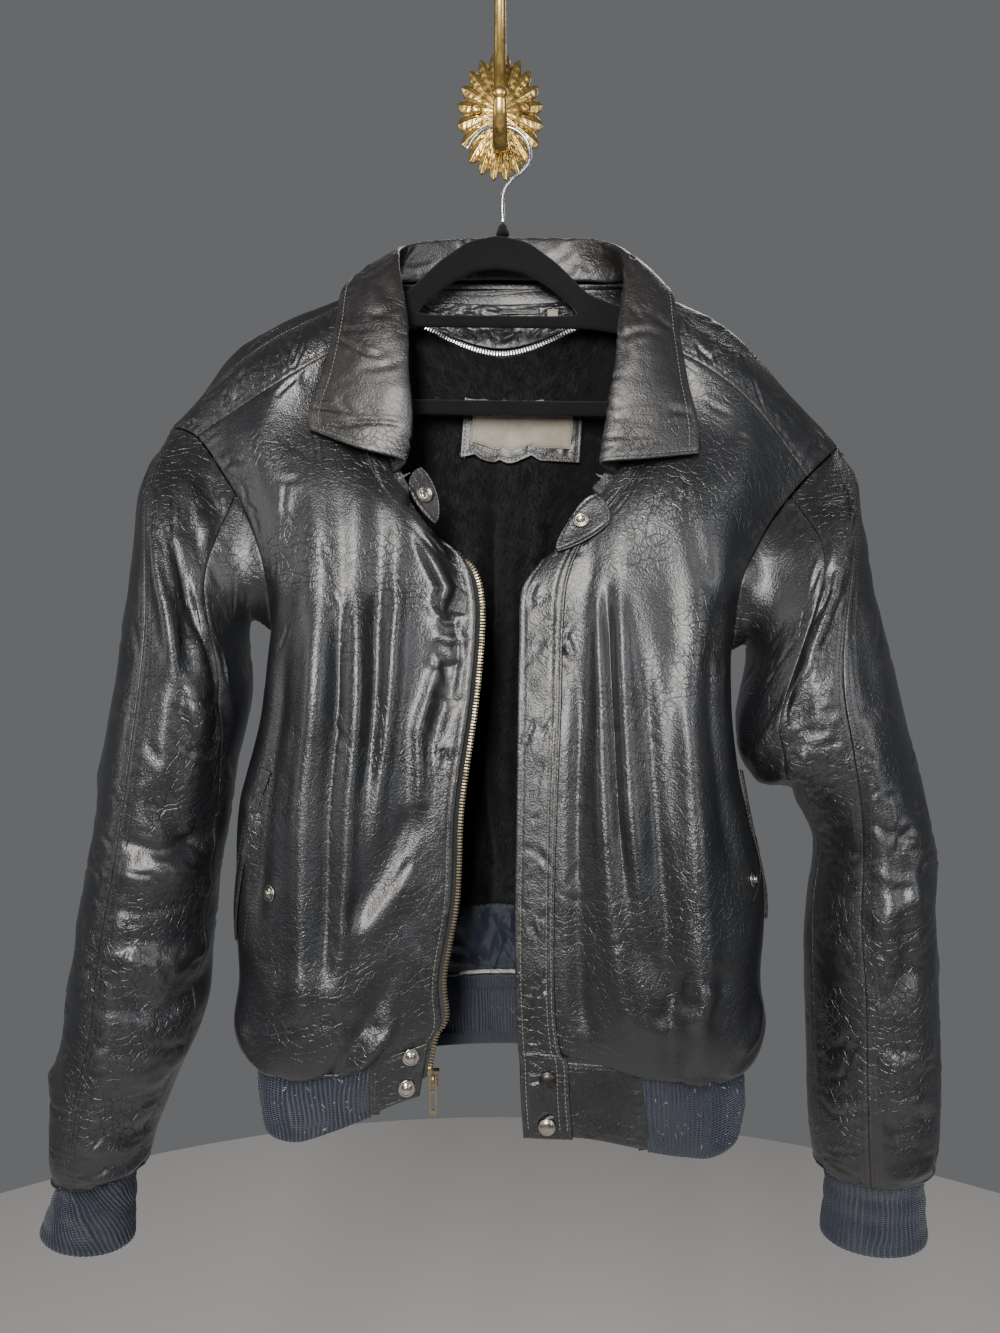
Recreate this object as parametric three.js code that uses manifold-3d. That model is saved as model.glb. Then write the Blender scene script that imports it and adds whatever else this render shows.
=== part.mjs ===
// Worn black leather blouson, hanging open on a flocked hanger in a brass wall hook.
// Millimetres, +Z up, +X to the viewer's right. The wall is the plane y = 0 and everything hangs at y < 0.
// The origin is the centre of the flat back of the brass plate.
// "Left" and "right" are the viewer's.
import * as THREE from "three";
import Module from "manifold-3d";

// Driving dimensions
const SEAM_GAP = 0.5; // between two sewn pieces, edge to edge
const LIE_GAP = 0.5; // between a piece and the panel that it lies on
const SHELL = 2.2; // leather with its quilted inner layer
const BACK_SHELL = 1.8; // leather of the back
const COLLAR = 2.6; // two leathers and an interlining
const STRAP = 2.2; // storm flap and tabs, leather folded double
const PILE = 3; // pile lining
const THIN = 1.2; // facing, nylon, tape, patch
const RIB_WALL = 2.2; // knit below its ribs
const RIB_RISE = 0.9; // how far a rib stands out
const RIB_PITCH = 4.1; // from rib to rib
const HEM_SEAM = 11 / 13; // where the rib is sewn on, along the body's height
const WIRE = 1.6; // radius of the hanger's hook wire
const HANGER_FRONT = -48;
const HANGER_THICK = 6;
const SNAP_RADIUS = 6.3;
const PULL_PIVOT = [-48.8, -119.25, -769.3]; // the bar of the pull tab, in the slider's bail

// Colours
const leather = { color: 0x16171a, roughness: 0.32, metalness: 0 };
const knit = { color: 0x1b2536, roughness: 0.95, metalness: 0 };
const pile = { color: 0x060607, roughness: 1, metalness: 0 };
const nylon = { color: 0x141a2b, roughness: 0.45, metalness: 0 };
const flock = { color: 0x08080a, roughness: 1, metalness: 0 };
const zipBrass = { color: 0x7d6c4c, roughness: 0.4, metalness: 1 };
const nickel = { color: 0xb9b2a3, roughness: 0.25, metalness: 1 };
const chrome = { color: 0xd5d8da, roughness: 0.12, metalness: 1 };
const brass = { color: 0xb08a36, roughness: 0.35, metalness: 1 };
const tape = { color: 0x17171b, roughness: 0.9, metalness: 0 };
const cream = { color: 0xcfc6ae, roughness: 0.9, metalness: 0 };

// Vectors
const plus = (a, b) => [a[0] + b[0], a[1] + b[1], a[2] + b[2]];
const minus = (a, b) => [a[0] - b[0], a[1] - b[1], a[2] - b[2]];
const times = (a, k) => [a[0] * k, a[1] * k, a[2] * k];
const mix = (a, b, k) => plus(times(a, 1 - k), times(b, k));
const cross = (a, b) => [a[1] * b[2] - a[2] * b[1], a[2] * b[0] - a[0] * b[2], a[0] * b[1] - a[1] * b[0]];
const size = (a) => Math.hypot(a[0], a[1], a[2]);
const unit = (a) => times(a, 1 / (size(a) || 1));
const clamp = (x, low, high) => Math.min(Math.max(x, low), high);
const smooth = (x) => {
  const k = clamp(x, 0, 1);
  return k * k * (3 - 2 * k);
};

// A smooth curve through points, read at a knot number such as 2.5.
function through(points, closed = false) {
  const count = points.length;
  const knot = (i) => {
    if (closed) return points[((i % count) + count) % count];
    if (i < 0) return minus(times(points[0], 2), points[1]);
    if (i >= count) return minus(times(points[count - 1], 2), points[count - 2]);
    return points[i];
  };
  return (x) => {
    const i = closed ? Math.floor(x) : clamp(Math.floor(x), 0, count - 2);
    return between(knot(i - 1), knot(i), knot(i + 1), knot(i + 2), x - i);
  };
}

// Catmull-Rom between b and c.
function between(a, b, c, d, u) {
  const ka = -0.5 * u + u * u - 0.5 * u * u * u;
  const kb = 1 - 2.5 * u * u + 1.5 * u * u * u;
  const kc = 0.5 * u + 2 * u * u - 1.5 * u * u * u;
  const kd = -0.5 * u * u + 0.5 * u * u * u;
  return plus(plus(times(a, ka), times(b, kb)), plus(times(c, kc), times(d, kd)));
}

// Stretches of seam curves, one after the other, read from 0 to 1 with the same share for each knot.
function run(...parts) {
  const total = parts.reduce((sum, [, from, to]) => sum + Math.abs(to - from), 0);
  return (t) => {
    let x = t * total;
    for (let i = 0; i < parts.length; i++) {
      const [curve, from, to] = parts[i];
      const knots = Math.abs(to - from);
      if (x <= knots || i === parts.length - 1) return curve(from + Math.sign(to - from) * x);
      x -= knots;
    }
    return null;
  };
}

// A smooth surface through rows of points, s along a row and t from row to row, drawn to its seam curves.
function sheet(rows, edges = {}, closed = false) {
  const across = rows.map((row) => through(row, closed));
  const cells = closed ? rows[0].length : rows[0].length - 1;
  const last = rows.length - 1;
  const rowAt = (k, x) => {
    if (k < 0) return minus(times(across[0](x), 2), across[1](x));
    if (k > last) return minus(times(across[last](x), 2), across[last - 1](x));
    return across[k](x);
  };
  const plain = (s, t) => {
    const x = s * cells;
    const y = t * last;
    const i = clamp(Math.floor(y), 0, last - 1);
    return between(rowAt(i - 1, x), rowAt(i, x), rowAt(i + 1, x), rowAt(i + 2, x), y - i);
  };
  const near = (x) => clamp(1 - x, 0, 1) ** 2;
  const sided = (s, t) => {
    let point = plain(s, t);
    if (edges.left) point = plus(point, times(minus(edges.left(t), plain(0, t)), near(s * cells)));
    if (edges.right) point = plus(point, times(minus(edges.right(t), plain(1, t)), near((1 - s) * cells)));
    return point;
  };
  return (s, t) => {
    let point = sided(s, t);
    if (edges.top) point = plus(point, times(minus(edges.top(s), sided(s, 0)), near(t * last)));
    return point;
  };
}

// The outward normal of a surface, outward being 1 or -1 for the way that s and t run.
function normalOf(surface, s, t, outward) {
  const step = 0.004;
  const ds = minus(surface(Math.min(s + step, 1), t), surface(Math.max(s - step, 0), t));
  const dt = minus(surface(s, Math.min(t + step, 1)), surface(s, Math.max(t - step, 0)));
  return times(unit(cross(ds, dt)), outward);
}

// How high a fold stands at a place given in millimetres on the flat panel.
function foldRise({ path, rise, width }, x, y, panel) {
  let best = Infinity;
  let along = 0;
  for (let i = 0; i + 1 < path.length; i++) {
    const ax = path[i][0] * panel[0];
    const ay = path[i][1] * panel[1];
    const bx = path[i + 1][0] * panel[0] - ax;
    const by = path[i + 1][1] * panel[1] - ay;
    const k = clamp(((x - ax) * bx + (y - ay) * by) / (bx * bx + by * by), 0, 1);
    const far = Math.hypot(x - ax - k * bx, y - ay - k * by);
    if (far < best) {
      best = far;
      along = (i + k) / (path.length - 1);
    }
  }
  const ends = smooth(along * 4) * smooth((1 - along) * 4);
  return rise * ends * Math.exp(-((best / width) ** 2));
}

// A surface with its folds, which die out at the seams. panel is its width and height in millimetres.
function folded(surface, panel, outward, folds, hold = [14, 14]) {
  return (s, t) => {
    const point = surface(s, t);
    const x = s * panel[0];
    const y = t * panel[1];
    const side = smooth(Math.min(x, panel[0] - x) / hold[0]);
    const end = smooth(Math.min(y, panel[1] - y) / hold[1]);
    const rise = folds.reduce((sum, fold) => sum + foldRise(fold, x, y, panel), 0) * side * end;
    if (Math.abs(rise) < 0.01) return point;
    return plus(point, times(normalOf(surface, s, t, outward), rise));
  };
}

// Part of a surface, as a surface of its own.
const part = (surface, s, t) => (u, v) =>
  surface(s[0] + (s[1] - s[0]) * u, t[0] + (t[1] - t[0]) * v);

// Length along a line of the surface, from eight chords.
function span(line) {
  const chords = 8;
  let total = 0;
  for (let i = 0; i < chords; i++) total += size(minus(line((i + 1) / chords), line(i / chords)));
  return total;
}

function meshed(positions, triangles) {
  const geometry = new THREE.BufferGeometry();
  geometry.setAttribute("position", new THREE.Float32BufferAttribute(positions.flat(), 3));
  geometry.setIndex(triangles.flat());
  return geometry;
}

// A cloth wall: the surface outside, the same surface moved in by the thickness inside, and its four edges.
// Each edge is pulled back by half the seam gap, and a little more inside, as a skived edge is.
// stops and across give the rows and columns as shares where they aren't even.
function wall(surface, options) {
  const { cols, rows, thick, outward, gap = SEAM_GAP, stops = null, across = null, skive = 0.5 } = options;
  const points = [];
  const layer = (inset, depth) => {
    for (let j = 0; j <= rows; j++) {
      for (let i = 0; i <= cols; i++) {
        const u = across ? across[i] : i / cols;
        const v = stops ? stops[j] : j / rows;
        const es = inset / Math.max(span((k) => surface(k, v)), 4 * inset);
        const et = inset / Math.max(span((k) => surface(u, k)), 4 * inset);
        const s = es + u * (1 - 2 * es);
        const t = et + v * (1 - 2 * et);
        const lift = depth ? times(normalOf(surface, s, t, outward), -depth) : [0, 0, 0];
        points.push(plus(surface(s, t), lift));
      }
    }
  };
  layer(gap / 2, 0);
  layer(gap / 2 + thick * skive, thick);
  const inner = (cols + 1) * (rows + 1);
  const at = (i, j) => j * (cols + 1) + i;
  const triangles = [];
  const quad = (a, b, c, d) => {
    if (outward > 0) triangles.push([a, b, c], [a, c, d]);
    else triangles.push([a, c, b], [a, d, c]);
  };
  for (let j = 0; j < rows; j++) {
    for (let i = 0; i < cols; i++) {
      const [a, b, c, d] = [at(i, j), at(i + 1, j), at(i + 1, j + 1), at(i, j + 1)];
      quad(a, b, c, d);
      quad(inner + a, inner + d, inner + c, inner + b);
    }
  }
  const rim = (p, q) => quad(q, p, inner + p, inner + q);
  for (let i = 0; i < cols; i++) {
    rim(at(i, 0), at(i + 1, 0));
    rim(at(i + 1, rows), at(i, rows));
  }
  for (let j = 0; j < rows; j++) {
    rim(at(cols, j), at(cols, j + 1));
    rim(at(0, j + 1), at(0, j));
  }
  return meshed(points, triangles);
}

// A rib knit band: ribs raised outside, plain inside. Two outer columns for each rib, one inner for two ribs.
function ribBand(surface, { ribs, rows, outward, closed }) {
  const outerCols = ribs * 2;
  const innerCols = ribs / 2;
  const outerCount = closed ? outerCols : outerCols + 1;
  const innerCount = closed ? innerCols : innerCols + 1;
  const points = [];
  const place = (u, j, lift) => {
    const height = span((k) => surface(u, k));
    const et = SEAM_GAP / 2 / height;
    const v = et + (j / rows) * (1 - 2 * et);
    const s = closed ? u : 0.0008 + u * 0.9984;
    return plus(surface(s, v), times(normalOf(surface, s, v, outward), lift));
  };
  for (let j = 0; j <= rows; j++)
    for (let i = 0; i < outerCount; i++) points.push(place(i / outerCols, j, i % 2 ? RIB_RISE : 0));
  const inner = points.length;
  for (let j = 0; j <= rows; j++)
    for (let i = 0; i < innerCount; i++) points.push(place(i / innerCols, j, -RIB_WALL));
  const out = (i, j) => j * outerCount + (i % outerCount);
  const inn = (i, j) => inner + j * innerCount + (i % innerCount);
  const triangles = [];
  const face = (a, b, c) => triangles.push(outward > 0 ? [a, b, c] : [a, c, b]);
  for (let j = 0; j < rows; j++) {
    for (let i = 0; i < outerCols; i++) {
      face(out(i, j), out(i + 1, j), out(i + 1, j + 1));
      face(out(i, j), out(i + 1, j + 1), out(i, j + 1));
    }
    for (let i = 0; i < innerCols; i++) {
      face(inn(i, j), inn(i + 1, j + 1), inn(i + 1, j));
      face(inn(i, j), inn(i, j + 1), inn(i + 1, j + 1));
    }
    if (!closed) {
      face(out(0, j), out(0, j + 1), inn(0, j + 1));
      face(out(0, j), inn(0, j + 1), inn(0, j));
      face(out(outerCols, j + 1), out(outerCols, j), inn(innerCols, j));
      face(out(outerCols, j + 1), inn(innerCols, j), inn(innerCols, j + 1));
    }
  }
  for (let k = 0; k < innerCols; k++) {
    const first = 4 * k;
    face(inn(k, 0), inn(k + 1, 0), out(first + 4, 0));
    face(inn(k, rows), out(first + 4, rows), inn(k + 1, rows));
    for (let i = first; i < first + 4; i++) {
      face(inn(k, 0), out(i + 1, 0), out(i, 0));
      face(inn(k, rows), out(i, rows), out(i + 1, rows));
    }
  }
  return meshed(points, triangles);
}

// Seams of the left half of the body, from the shoulder down.
// Armhole: shoulder point, yoke corner, down the front to the underarm, up the back.
const armholeLeft = [
  [-264, -45, -275], [-239, -63, -286], [-214, -79, -318], [-192, -91, -353], [-177, -98, -396],
  [-177, -70, -440], [-176, -30, -404], [-193, -17, -355], [-228, -20, -305], [-254, -32, -284],
];
const armholeRight = [
  [272, -45, -291], [242, -64, -318], [213, -80, -350], [195, -91, -377], [181, -97, -408],
  [180, -70, -455], [179, -30, -419], [197, -17, -368], [234, -20, -320], [262, -32, -300],
];
// Side seam from the underarm to the bottom of the rib.
const sideLeft = [
  [-177, -70, -440], [-182, -68, -500], [-201, -67, -570], [-204, -66, -636], [-201, -64, -694],
  [-205, -62, -730], [-199, -61, -755], [-190, -63, -757], [-189, -62, -782], [-185, -61, -806],
];
const sideRight = [
  [180, -70, -455], [179, -68, -505], [189, -66, -575], [204, -66, -640], [200, -64, -700],
  [204, -62, -733], [199, -61, -757], [190, -63, -756], [191, -62, -782], [188, -61, -808],
];
// Ridge seam of each shoulder, from the shoulder point to the neck.
const ridgeLeft = [
  [-264, -45, -275], [-214, -58, -233], [-178, -59, -207], [-136, -58, -186], [-97, -49, -163],
];
const ridgeRight = [
  [272, -45, -291], [210, -58, -234], [178, -59, -207], [139, -58, -185], [104, -49, -164],
];
// Lower yoke seam, from the armhole to the neck.
const yokeLeft = [[-239, -63, -286], [-195, -75, -262], [-156, -79, -239], [-103, -66, -206]];
const yokeRight = [[242, -64, -318], [199, -77, -268], [160, -78, -236], [110, -66, -207]];
// Neck seam, from the left end of the collar around the back to its right end.
const neck = [
  [-80, -86, -326], [-88, -80, -292], [-96, -74, -248], [-103, -66, -206], [-97, -49, -163],
  [-80, -28, -154], [-40, -19, -151], [0, -17, -150], [42, -19, -151], [84, -28, -154],
  [104, -49, -164], [110, -66, -207], [104, -74, -248], [96, -82, -292], [84, -90, -328],
];

const armL = through(armholeLeft, true);
const armR = through(armholeRight, true);
const sideL = through(sideLeft);
const sideR = through(sideRight);
const ridgeL = through(ridgeLeft);
const ridgeR = through(ridgeRight);
const yokeSeamL = through(yokeLeft);
const yokeSeamR = through(yokeRight);
const neckSeam = through(neck);

// Fronts: rows from the yoke and neckline down to the rib's lower edge,
// columns from the side to the zip edge.
const frontLeftRows = [
  [armholeLeft[1], yokeLeft[1], yokeLeft[2], neck[3], neck[2], neck[1], neck[0]],
  [armholeLeft[2], [-188, -90, -298], [-160, -86, -284], [-131, -77, -268], [-110, -82, -290],
    [-90, -94, -325], [-53, -95, -363]],
  [armholeLeft[3], [-168, -103, -345], [-142, -107, -340], [-116, -105, -338], [-92, -104, -346],
    [-62, -103, -367], [-28, -102, -385]],
  [armholeLeft[4], [-160, -110, -397], [-138, -117, -398], [-112, -116, -400], [-82, -112, -402],
    [-50, -109, -405], [-19, -106, -410]],
  [armholeLeft[5], [-170, -103, -441], [-145, -123, -441], [-115, -126, -442], [-82, -120, -443],
    [-48, -114, -443], [-18, -110, -443]],
  [sideLeft[1], [-176, -104, -500], [-150, -128, -500], [-117, -132, -500], [-84, -124, -500],
    [-52, -118, -500], [-23, -115, -498]],
  [sideLeft[2], [-191, -104, -570], [-162, -128, -570], [-125, -136, -570], [-90, -128, -570],
    [-60, -122, -570], [-33, -120, -570]],
  [sideLeft[3], [-195, -106, -640], [-165, -130, -640], [-128, -138, -640], [-94, -131, -640],
    [-63, -124, -640], [-36, -120, -638]],
  [sideLeft[4], [-194, -104, -699], [-166, -131, -702], [-130, -140, -704], [-98, -134, -702],
    [-71, -126, -699], [-45, -119, -695]],
  [sideLeft[5], [-198, -103, -738], [-168, -130, -744], [-132, -136, -746], [-101, -132, -744],
    [-74, -124, -738], [-43, -117, -725]],
  [sideLeft[6], [-189, -98, -763], [-164, -121, -766], [-130, -127, -766], [-98, -123, -760],
    [-73, -120, -747], [-47, -115, -737]],
  [sideLeft[7], [-180, -93, -759], [-156, -112, -761], [-126, -118, -761], [-96, -119, -758],
    [-75, -118, -751], [-52, -114, -744]],
  [sideLeft[8], [-182, -92, -789], [-157, -112, -789], [-126, -119, -785], [-96, -118, -778],
    [-77, -116, -772], [-56, -114, -765]],
  [sideLeft[9], [-178, -90, -819], [-153, -109, -819], [-124, -117, -808], [-96, -117, -797],
    [-79, -115, -790], [-59, -113, -784]],
];
const frontRightRows = [
  [armholeRight[1], yokeRight[1], yokeRight[2], neck[11], neck[12], neck[13], neck[14]],
  [armholeRight[2], [191, -89, -302], [162, -86, -284], [134, -78, -268], [114, -84, -292],
    [94, -94, -326], [62, -94, -350]],
  [armholeRight[3], [172, -104, -354], [146, -108, -343], [121, -107, -340], [99, -105, -347],
    [72, -103, -364], [45, -99, -380]],
  [armholeRight[4], [165, -113, -403], [142, -119, -400], [114, -118, -400], [84, -114, -402],
    [56, -109, -404], [31, -104, -408]],
  [armholeRight[5], [172, -101, -452], [148, -125, -450], [116, -128, -450], [84, -122, -450],
    [56, -115, -450], [29, -108, -450]],
  [sideRight[1], [173, -102, -505], [150, -128, -505], [118, -134, -505], [86, -127, -505],
    [56, -119, -505], [28, -114, -505]],
  [sideRight[2], [184, -104, -575], [158, -131, -575], [122, -140, -575], [88, -132, -575],
    [54, -123, -575], [27, -118, -575]],
  [sideRight[3], [196, -105, -640], [168, -134, -640], [130, -143, -640], [92, -136, -640],
    [53, -126, -640], [26, -120, -640]],
  [sideRight[4], [194, -105, -700], [170, -136, -702], [134, -145, -704], [94, -138, -702],
    [53, -126, -698], [26, -121, -695]],
  [sideRight[5], [198, -103, -737], [172, -133, -742], [136, -141, -744], [98, -135, -742],
    [55, -125, -730], [27, -120, -726]],
  [sideRight[6], [190, -98, -763], [168, -124, -766], [136, -131, -766], [101, -128, -764],
    [58, -123, -750], [28, -119, -746]],
  [sideRight[7], [181, -93, -758], [158, -114, -761], [132, -121, -762], [104, -122, -760],
    [62, -121, -757], [29, -118, -755]],
  [sideRight[8], [184, -92, -790], [160, -114, -792], [133, -121, -792], [106, -121, -790],
    [64, -120, -786], [30, -118, -784]],
  [sideRight[9], [181, -90, -825], [158, -111, -829], [134, -119, -825], [109, -120, -821],
    [66, -119, -813], [32, -117, -812]],
];

// The body's folds, placed by hand as shares of the panel's width and height.
const FRONT_PANEL = [250, 500];
const foldsLeft = [
  { path: [[0.4, 0.26], [0.42, 0.42], [0.44, 0.58], [0.46, 0.68]], rise: 5, width: 11 },
  { path: [[0.56, 0.24], [0.57, 0.36], [0.58, 0.5], [0.57, 0.62]], rise: 4.5, width: 9 },
  { path: [[0.49, 0.24], [0.5, 0.38], [0.52, 0.52], [0.53, 0.62]], rise: -4.5, width: 8 },
  { path: [[0.7, 0.2], [0.69, 0.3], [0.68, 0.42], [0.66, 0.52]], rise: 4, width: 9 },
  { path: [[0.63, 0.22], [0.63, 0.34], [0.63, 0.46]], rise: -3.5, width: 7 },
  { path: [[0.8, 0.15], [0.88, 0.24], [0.83, 0.31]], rise: 4, width: 7 },
  { path: [[0.84, 0.3], [0.9, 0.37], [0.84, 0.43]], rise: -3, width: 8 },
  { path: [[0.9, 0.3], [0.8, 0.4], [0.86, 0.48]], rise: 3, width: 7 },
  { path: [[0.82, 0.58], [0.68, 0.66], [0.54, 0.76], [0.46, 0.8]], rise: -4, width: 10 },
  { path: [[0.84, 0.65], [0.72, 0.7], [0.6, 0.76]], rise: 3.5, width: 9 },
  { path: [[0.26, 0.3], [0.28, 0.45], [0.27, 0.58]], rise: -4, width: 11 },
  { path: [[0.2, 0.66], [0.26, 0.72], [0.36, 0.76]], rise: 3, width: 10 },
  { path: [[0.16, 0.74], [0.24, 0.78], [0.4, 0.78]], rise: -3, width: 8 },
];
const foldsRight = [
  { path: [[0.74, 0.2], [0.74, 0.36], [0.72, 0.54], [0.66, 0.7]], rise: 4.5, width: 9 },
  { path: [[0.64, 0.22], [0.64, 0.4], [0.63, 0.58]], rise: 4, width: 8 },
  { path: [[0.69, 0.22], [0.69, 0.38], [0.67, 0.54]], rise: -3.5, width: 6 },
  { path: [[0.56, 0.28], [0.56, 0.46], [0.56, 0.66], [0.58, 0.78]], rise: -5, width: 10 },
  { path: [[0.42, 0.3], [0.43, 0.46], [0.46, 0.62], [0.5, 0.76]], rise: 5, width: 12 },
  { path: [[0.82, 0.3], [0.82, 0.46], [0.81, 0.62], [0.8, 0.72]], rise: -3.5, width: 8 },
  { path: [[0.3, 0.28], [0.32, 0.4], [0.31, 0.54]], rise: -4, width: 11 },
  { path: [[0.36, 0.74], [0.46, 0.8], [0.56, 0.82]], rise: -4.5, width: 9 },
  { path: [[0.34, 0.8], [0.44, 0.76], [0.56, 0.74]], rise: 4, width: 9 },
  { path: [[0.18, 0.62], [0.26, 0.68], [0.36, 0.7]], rise: 3, width: 10 },
];

const frontL = folded(
  sheet(frontLeftRows, {
    left: run([armL, 1, 5], [sideL, 0, 9]),
    top: run([yokeSeamL, 0, 3], [neckSeam, 3, 0]),
  }),
  FRONT_PANEL,
  -1,
  foldsLeft,
);
const frontR = folded(
  sheet(frontRightRows, {
    left: run([armR, 1, 5], [sideR, 0, 9]),
    top: run([yokeSeamR, 0, 3], [neckSeam, 11, 14]),
  }),
  FRONT_PANEL,
  1,
  foldsRight,
);

// Yoke strips, from the ridge seam to the lower yoke seam, columns from the armhole to the neck.
function yokeSheet(ridge, lower, arm, ridgeSeam, lowerSeam, neckFrom, neckTo) {
  const middle = [];
  for (let i = 0; i < 4; i++) {
    const high = ridgeSeam((i / 3) * 4);
    const low = lower[i];
    const bulge = i === 0 ? 0 : 3;
    middle.push(plus(mix(high, low, 0.5), [0, -bulge, bulge]));
  }
  middle[0] = arm(0.5);
  middle[3] = neckSeam((neckFrom + neckTo) / 2);
  const top = [0, 1, 2, 3].map((i) => ridgeSeam((i / 3) * 4));
  const bottomRow = [0, 1, 2, 3].map((i) => lower[i]);
  const edgeBottom = (s) => lowerSeam(s * 3);
  const base = sheet([top, middle, bottomRow], {
    left: run([arm, 0, 1]),
    right: run([neckSeam, neckFrom, neckTo]),
    top: (s) => ridgeSeam(s * 4),
  });
  return (s, t) => {
    const pull = clamp(2 * t - 1, 0, 1) ** 2;
    return plus(base(s, t), times(minus(edgeBottom(s), base(s, 1)), pull));
  };
}
const yokeL = yokeSheet(ridgeLeft, yokeLeft, armL, ridgeL, yokeSeamL, 4, 3);
const yokeR = yokeSheet(ridgeRight, yokeRight, armR, ridgeR, yokeSeamR, 10, 11);

// Back: columns from the left seam to the right one, rows from the ridges and neck to the rib's lower edge.
// A row lies at one depth behind the hanger and turns forward to the seams at its ends.
const BACK_SHARES = [0, 0.11, 0.2, 0.29, 0.37, 0.44, 0.5, 0.56, 0.63, 0.71, 0.8, 0.89, 1];
function backRow(left, right, depth, height, wave = 0) {
  return BACK_SHARES.map((share, i) => {
    const end = Math.abs(2 * share - 1);
    const seam = share < 0.5 ? left : right;
    const x = left[0] + (right[0] - left[0]) * share;
    const y = depth + (seam[1] - depth) * end ** 7 + wave * Math.cos(i * 2.1) * (1 - end);
    const z = height + (seam[2] - height) * end ** 2;
    return i === 0 ? left : i === 12 ? right : [x, y, z];
  });
}
// Highest line of the shoulders, over the hanger's arms, from the left shoulder point to the right one.
const shoulderTop = [
  [-259, -38, -279], [-217, -43, -219], [-180, -45, -194], [-136, -45, -175], [-99, -42, -161],
  [-80, -26, -157], [0, -16, -157], [84, -26, -157], [107, -42, -162], [139, -45, -175],
  [178, -45, -193], [210, -43, -222], [267, -38, -295],
];
const behindShoulders = [
  [-254, -32, -284], [-218, -26, -234], [-180, -25, -210], [-136, -25, -195], [-98, -23, -182],
  [-66, -18, -182], [0, -16, -185], [68, -18, -182], [103, -23, -183], [139, -25, -195],
  [178, -25, -210], [212, -26, -236], [262, -32, -300],
];
const backTop = [
  armholeLeft[0], ridgeLeft[1], ridgeLeft[2], ridgeLeft[3], neck[4], neck[5], neck[7], neck[9], neck[10],
  ridgeRight[3], ridgeRight[2], ridgeRight[1], armholeRight[0],
];
const backRows = [
  backTop,
  shoulderTop,
  behindShoulders,
  backRow(armholeLeft[8], armholeRight[8], -16, -262, 1),
  backRow(armholeLeft[7], armholeRight[7], -15, -335, 2),
  backRow(armholeLeft[6], armholeRight[6], -14, -395, 2),
  backRow(armholeLeft[5], armholeRight[5], -13, -445, 2),
  backRow(sideLeft[1], sideRight[1], -13, -500, 2),
  backRow(sideLeft[2], sideRight[2], -13, -560, 2),
  backRow(sideLeft[3], sideRight[3], -12, -620, 2),
  backRow(sideLeft[4], sideRight[4], -12, -672, 2),
  backRow(sideLeft[5], sideRight[5], -10, -706, 2),
  backRow(sideLeft[6], sideRight[6], -13, -726, 1),
  backRow(sideLeft[7], sideRight[7], -19, -722, 0),
  backRow(sideLeft[8], sideRight[8], -19, -750, 0),
  backRow(sideLeft[9], sideRight[9], -20, -778, 0),
];
const BACK_PANEL = [520, 630];
const BACK_HEM = 13 / 15;
const foldsBack = [
  { path: [[0.22, 0.2], [0.25, 0.4], [0.24, 0.62]], rise: 2, width: 16 },
  { path: [[0.34, 0.24], [0.36, 0.45], [0.35, 0.7]], rise: -3, width: 15 },
  { path: [[0.47, 0.2], [0.47, 0.45], [0.48, 0.74]], rise: 2.5, width: 17 },
  { path: [[0.6, 0.22], [0.59, 0.44], [0.6, 0.7]], rise: -3, width: 15 },
  { path: [[0.74, 0.2], [0.72, 0.42], [0.74, 0.66]], rise: 3, width: 16 },
];
const back = folded(
  sheet(backRows, {
    left: run([armL, 10, 5], [sideL, 0, 9]),
    right: run([armR, 10, 5], [sideR, 0, 9]),
  }),
  BACK_PANEL,
  1,
  foldsBack,
  [30, 30],
);

// Sleeves: closed rings of ten points, from the armhole down. The first point lies on the centre seam,
// which turn gives as an angle from the outer side towards the front; side is -1 for the left sleeve.
// slack is the share of that turn which the underarm side lacks.
function sleeveRing({ x, y, z, wide, deep, turn, slope, slack = 0 }, side) {
  return armholeLeft.map((_, i) => {
    const lag = (slack * (1 - Math.cos((i * Math.PI) / 5))) / 2;
    const angle = ((turn * (1 - lag) + i * 36) * Math.PI) / 180;
    const dx = side * wide * Math.cos(angle);
    return [x + dx, y - deep * Math.sin(angle), z + side * slope * dx];
  });
}
const ringsLeft = [
  { x: -236, y: -68, z: -378, wide: 40, deep: 48, turn: 45, slope: 1.4, slack: 0.8 },
  { x: -240, y: -73, z: -455, wide: 45, deep: 60, turn: 68, slope: 0.85, slack: 0.5 },
  { x: -252, y: -76, z: -530, wide: 46, deep: 62, turn: 75, slope: 0.4, slack: 0.2 },
  { x: -260, y: -76, z: -587, wide: 47, deep: 62, turn: 75, slope: 0.2 },
  { x: -267, y: -77, z: -628, wide: 48, deep: 60, turn: 75, slope: 0.1 },
  { x: -274, y: -75, z: -675, wide: 51, deep: 61, turn: 74, slope: 0.05 },
  { x: -281, y: -76, z: -735, wide: 51, deep: 58, turn: 73, slope: 0.03 },
  { x: -296, y: -75, z: -785, wide: 45, deep: 54, turn: 73, slope: 0 },
  { x: -305, y: -75, z: -826, wide: 38, deep: 49, turn: 73, slope: -0.05 },
  { x: -308, y: -74, z: -852, wide: 33, deep: 42, turn: 73, slope: -0.08 },
  { x: -309, y: -74, z: -849, wide: 29, deep: 36, turn: 73, slope: -0.08 },
];
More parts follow.
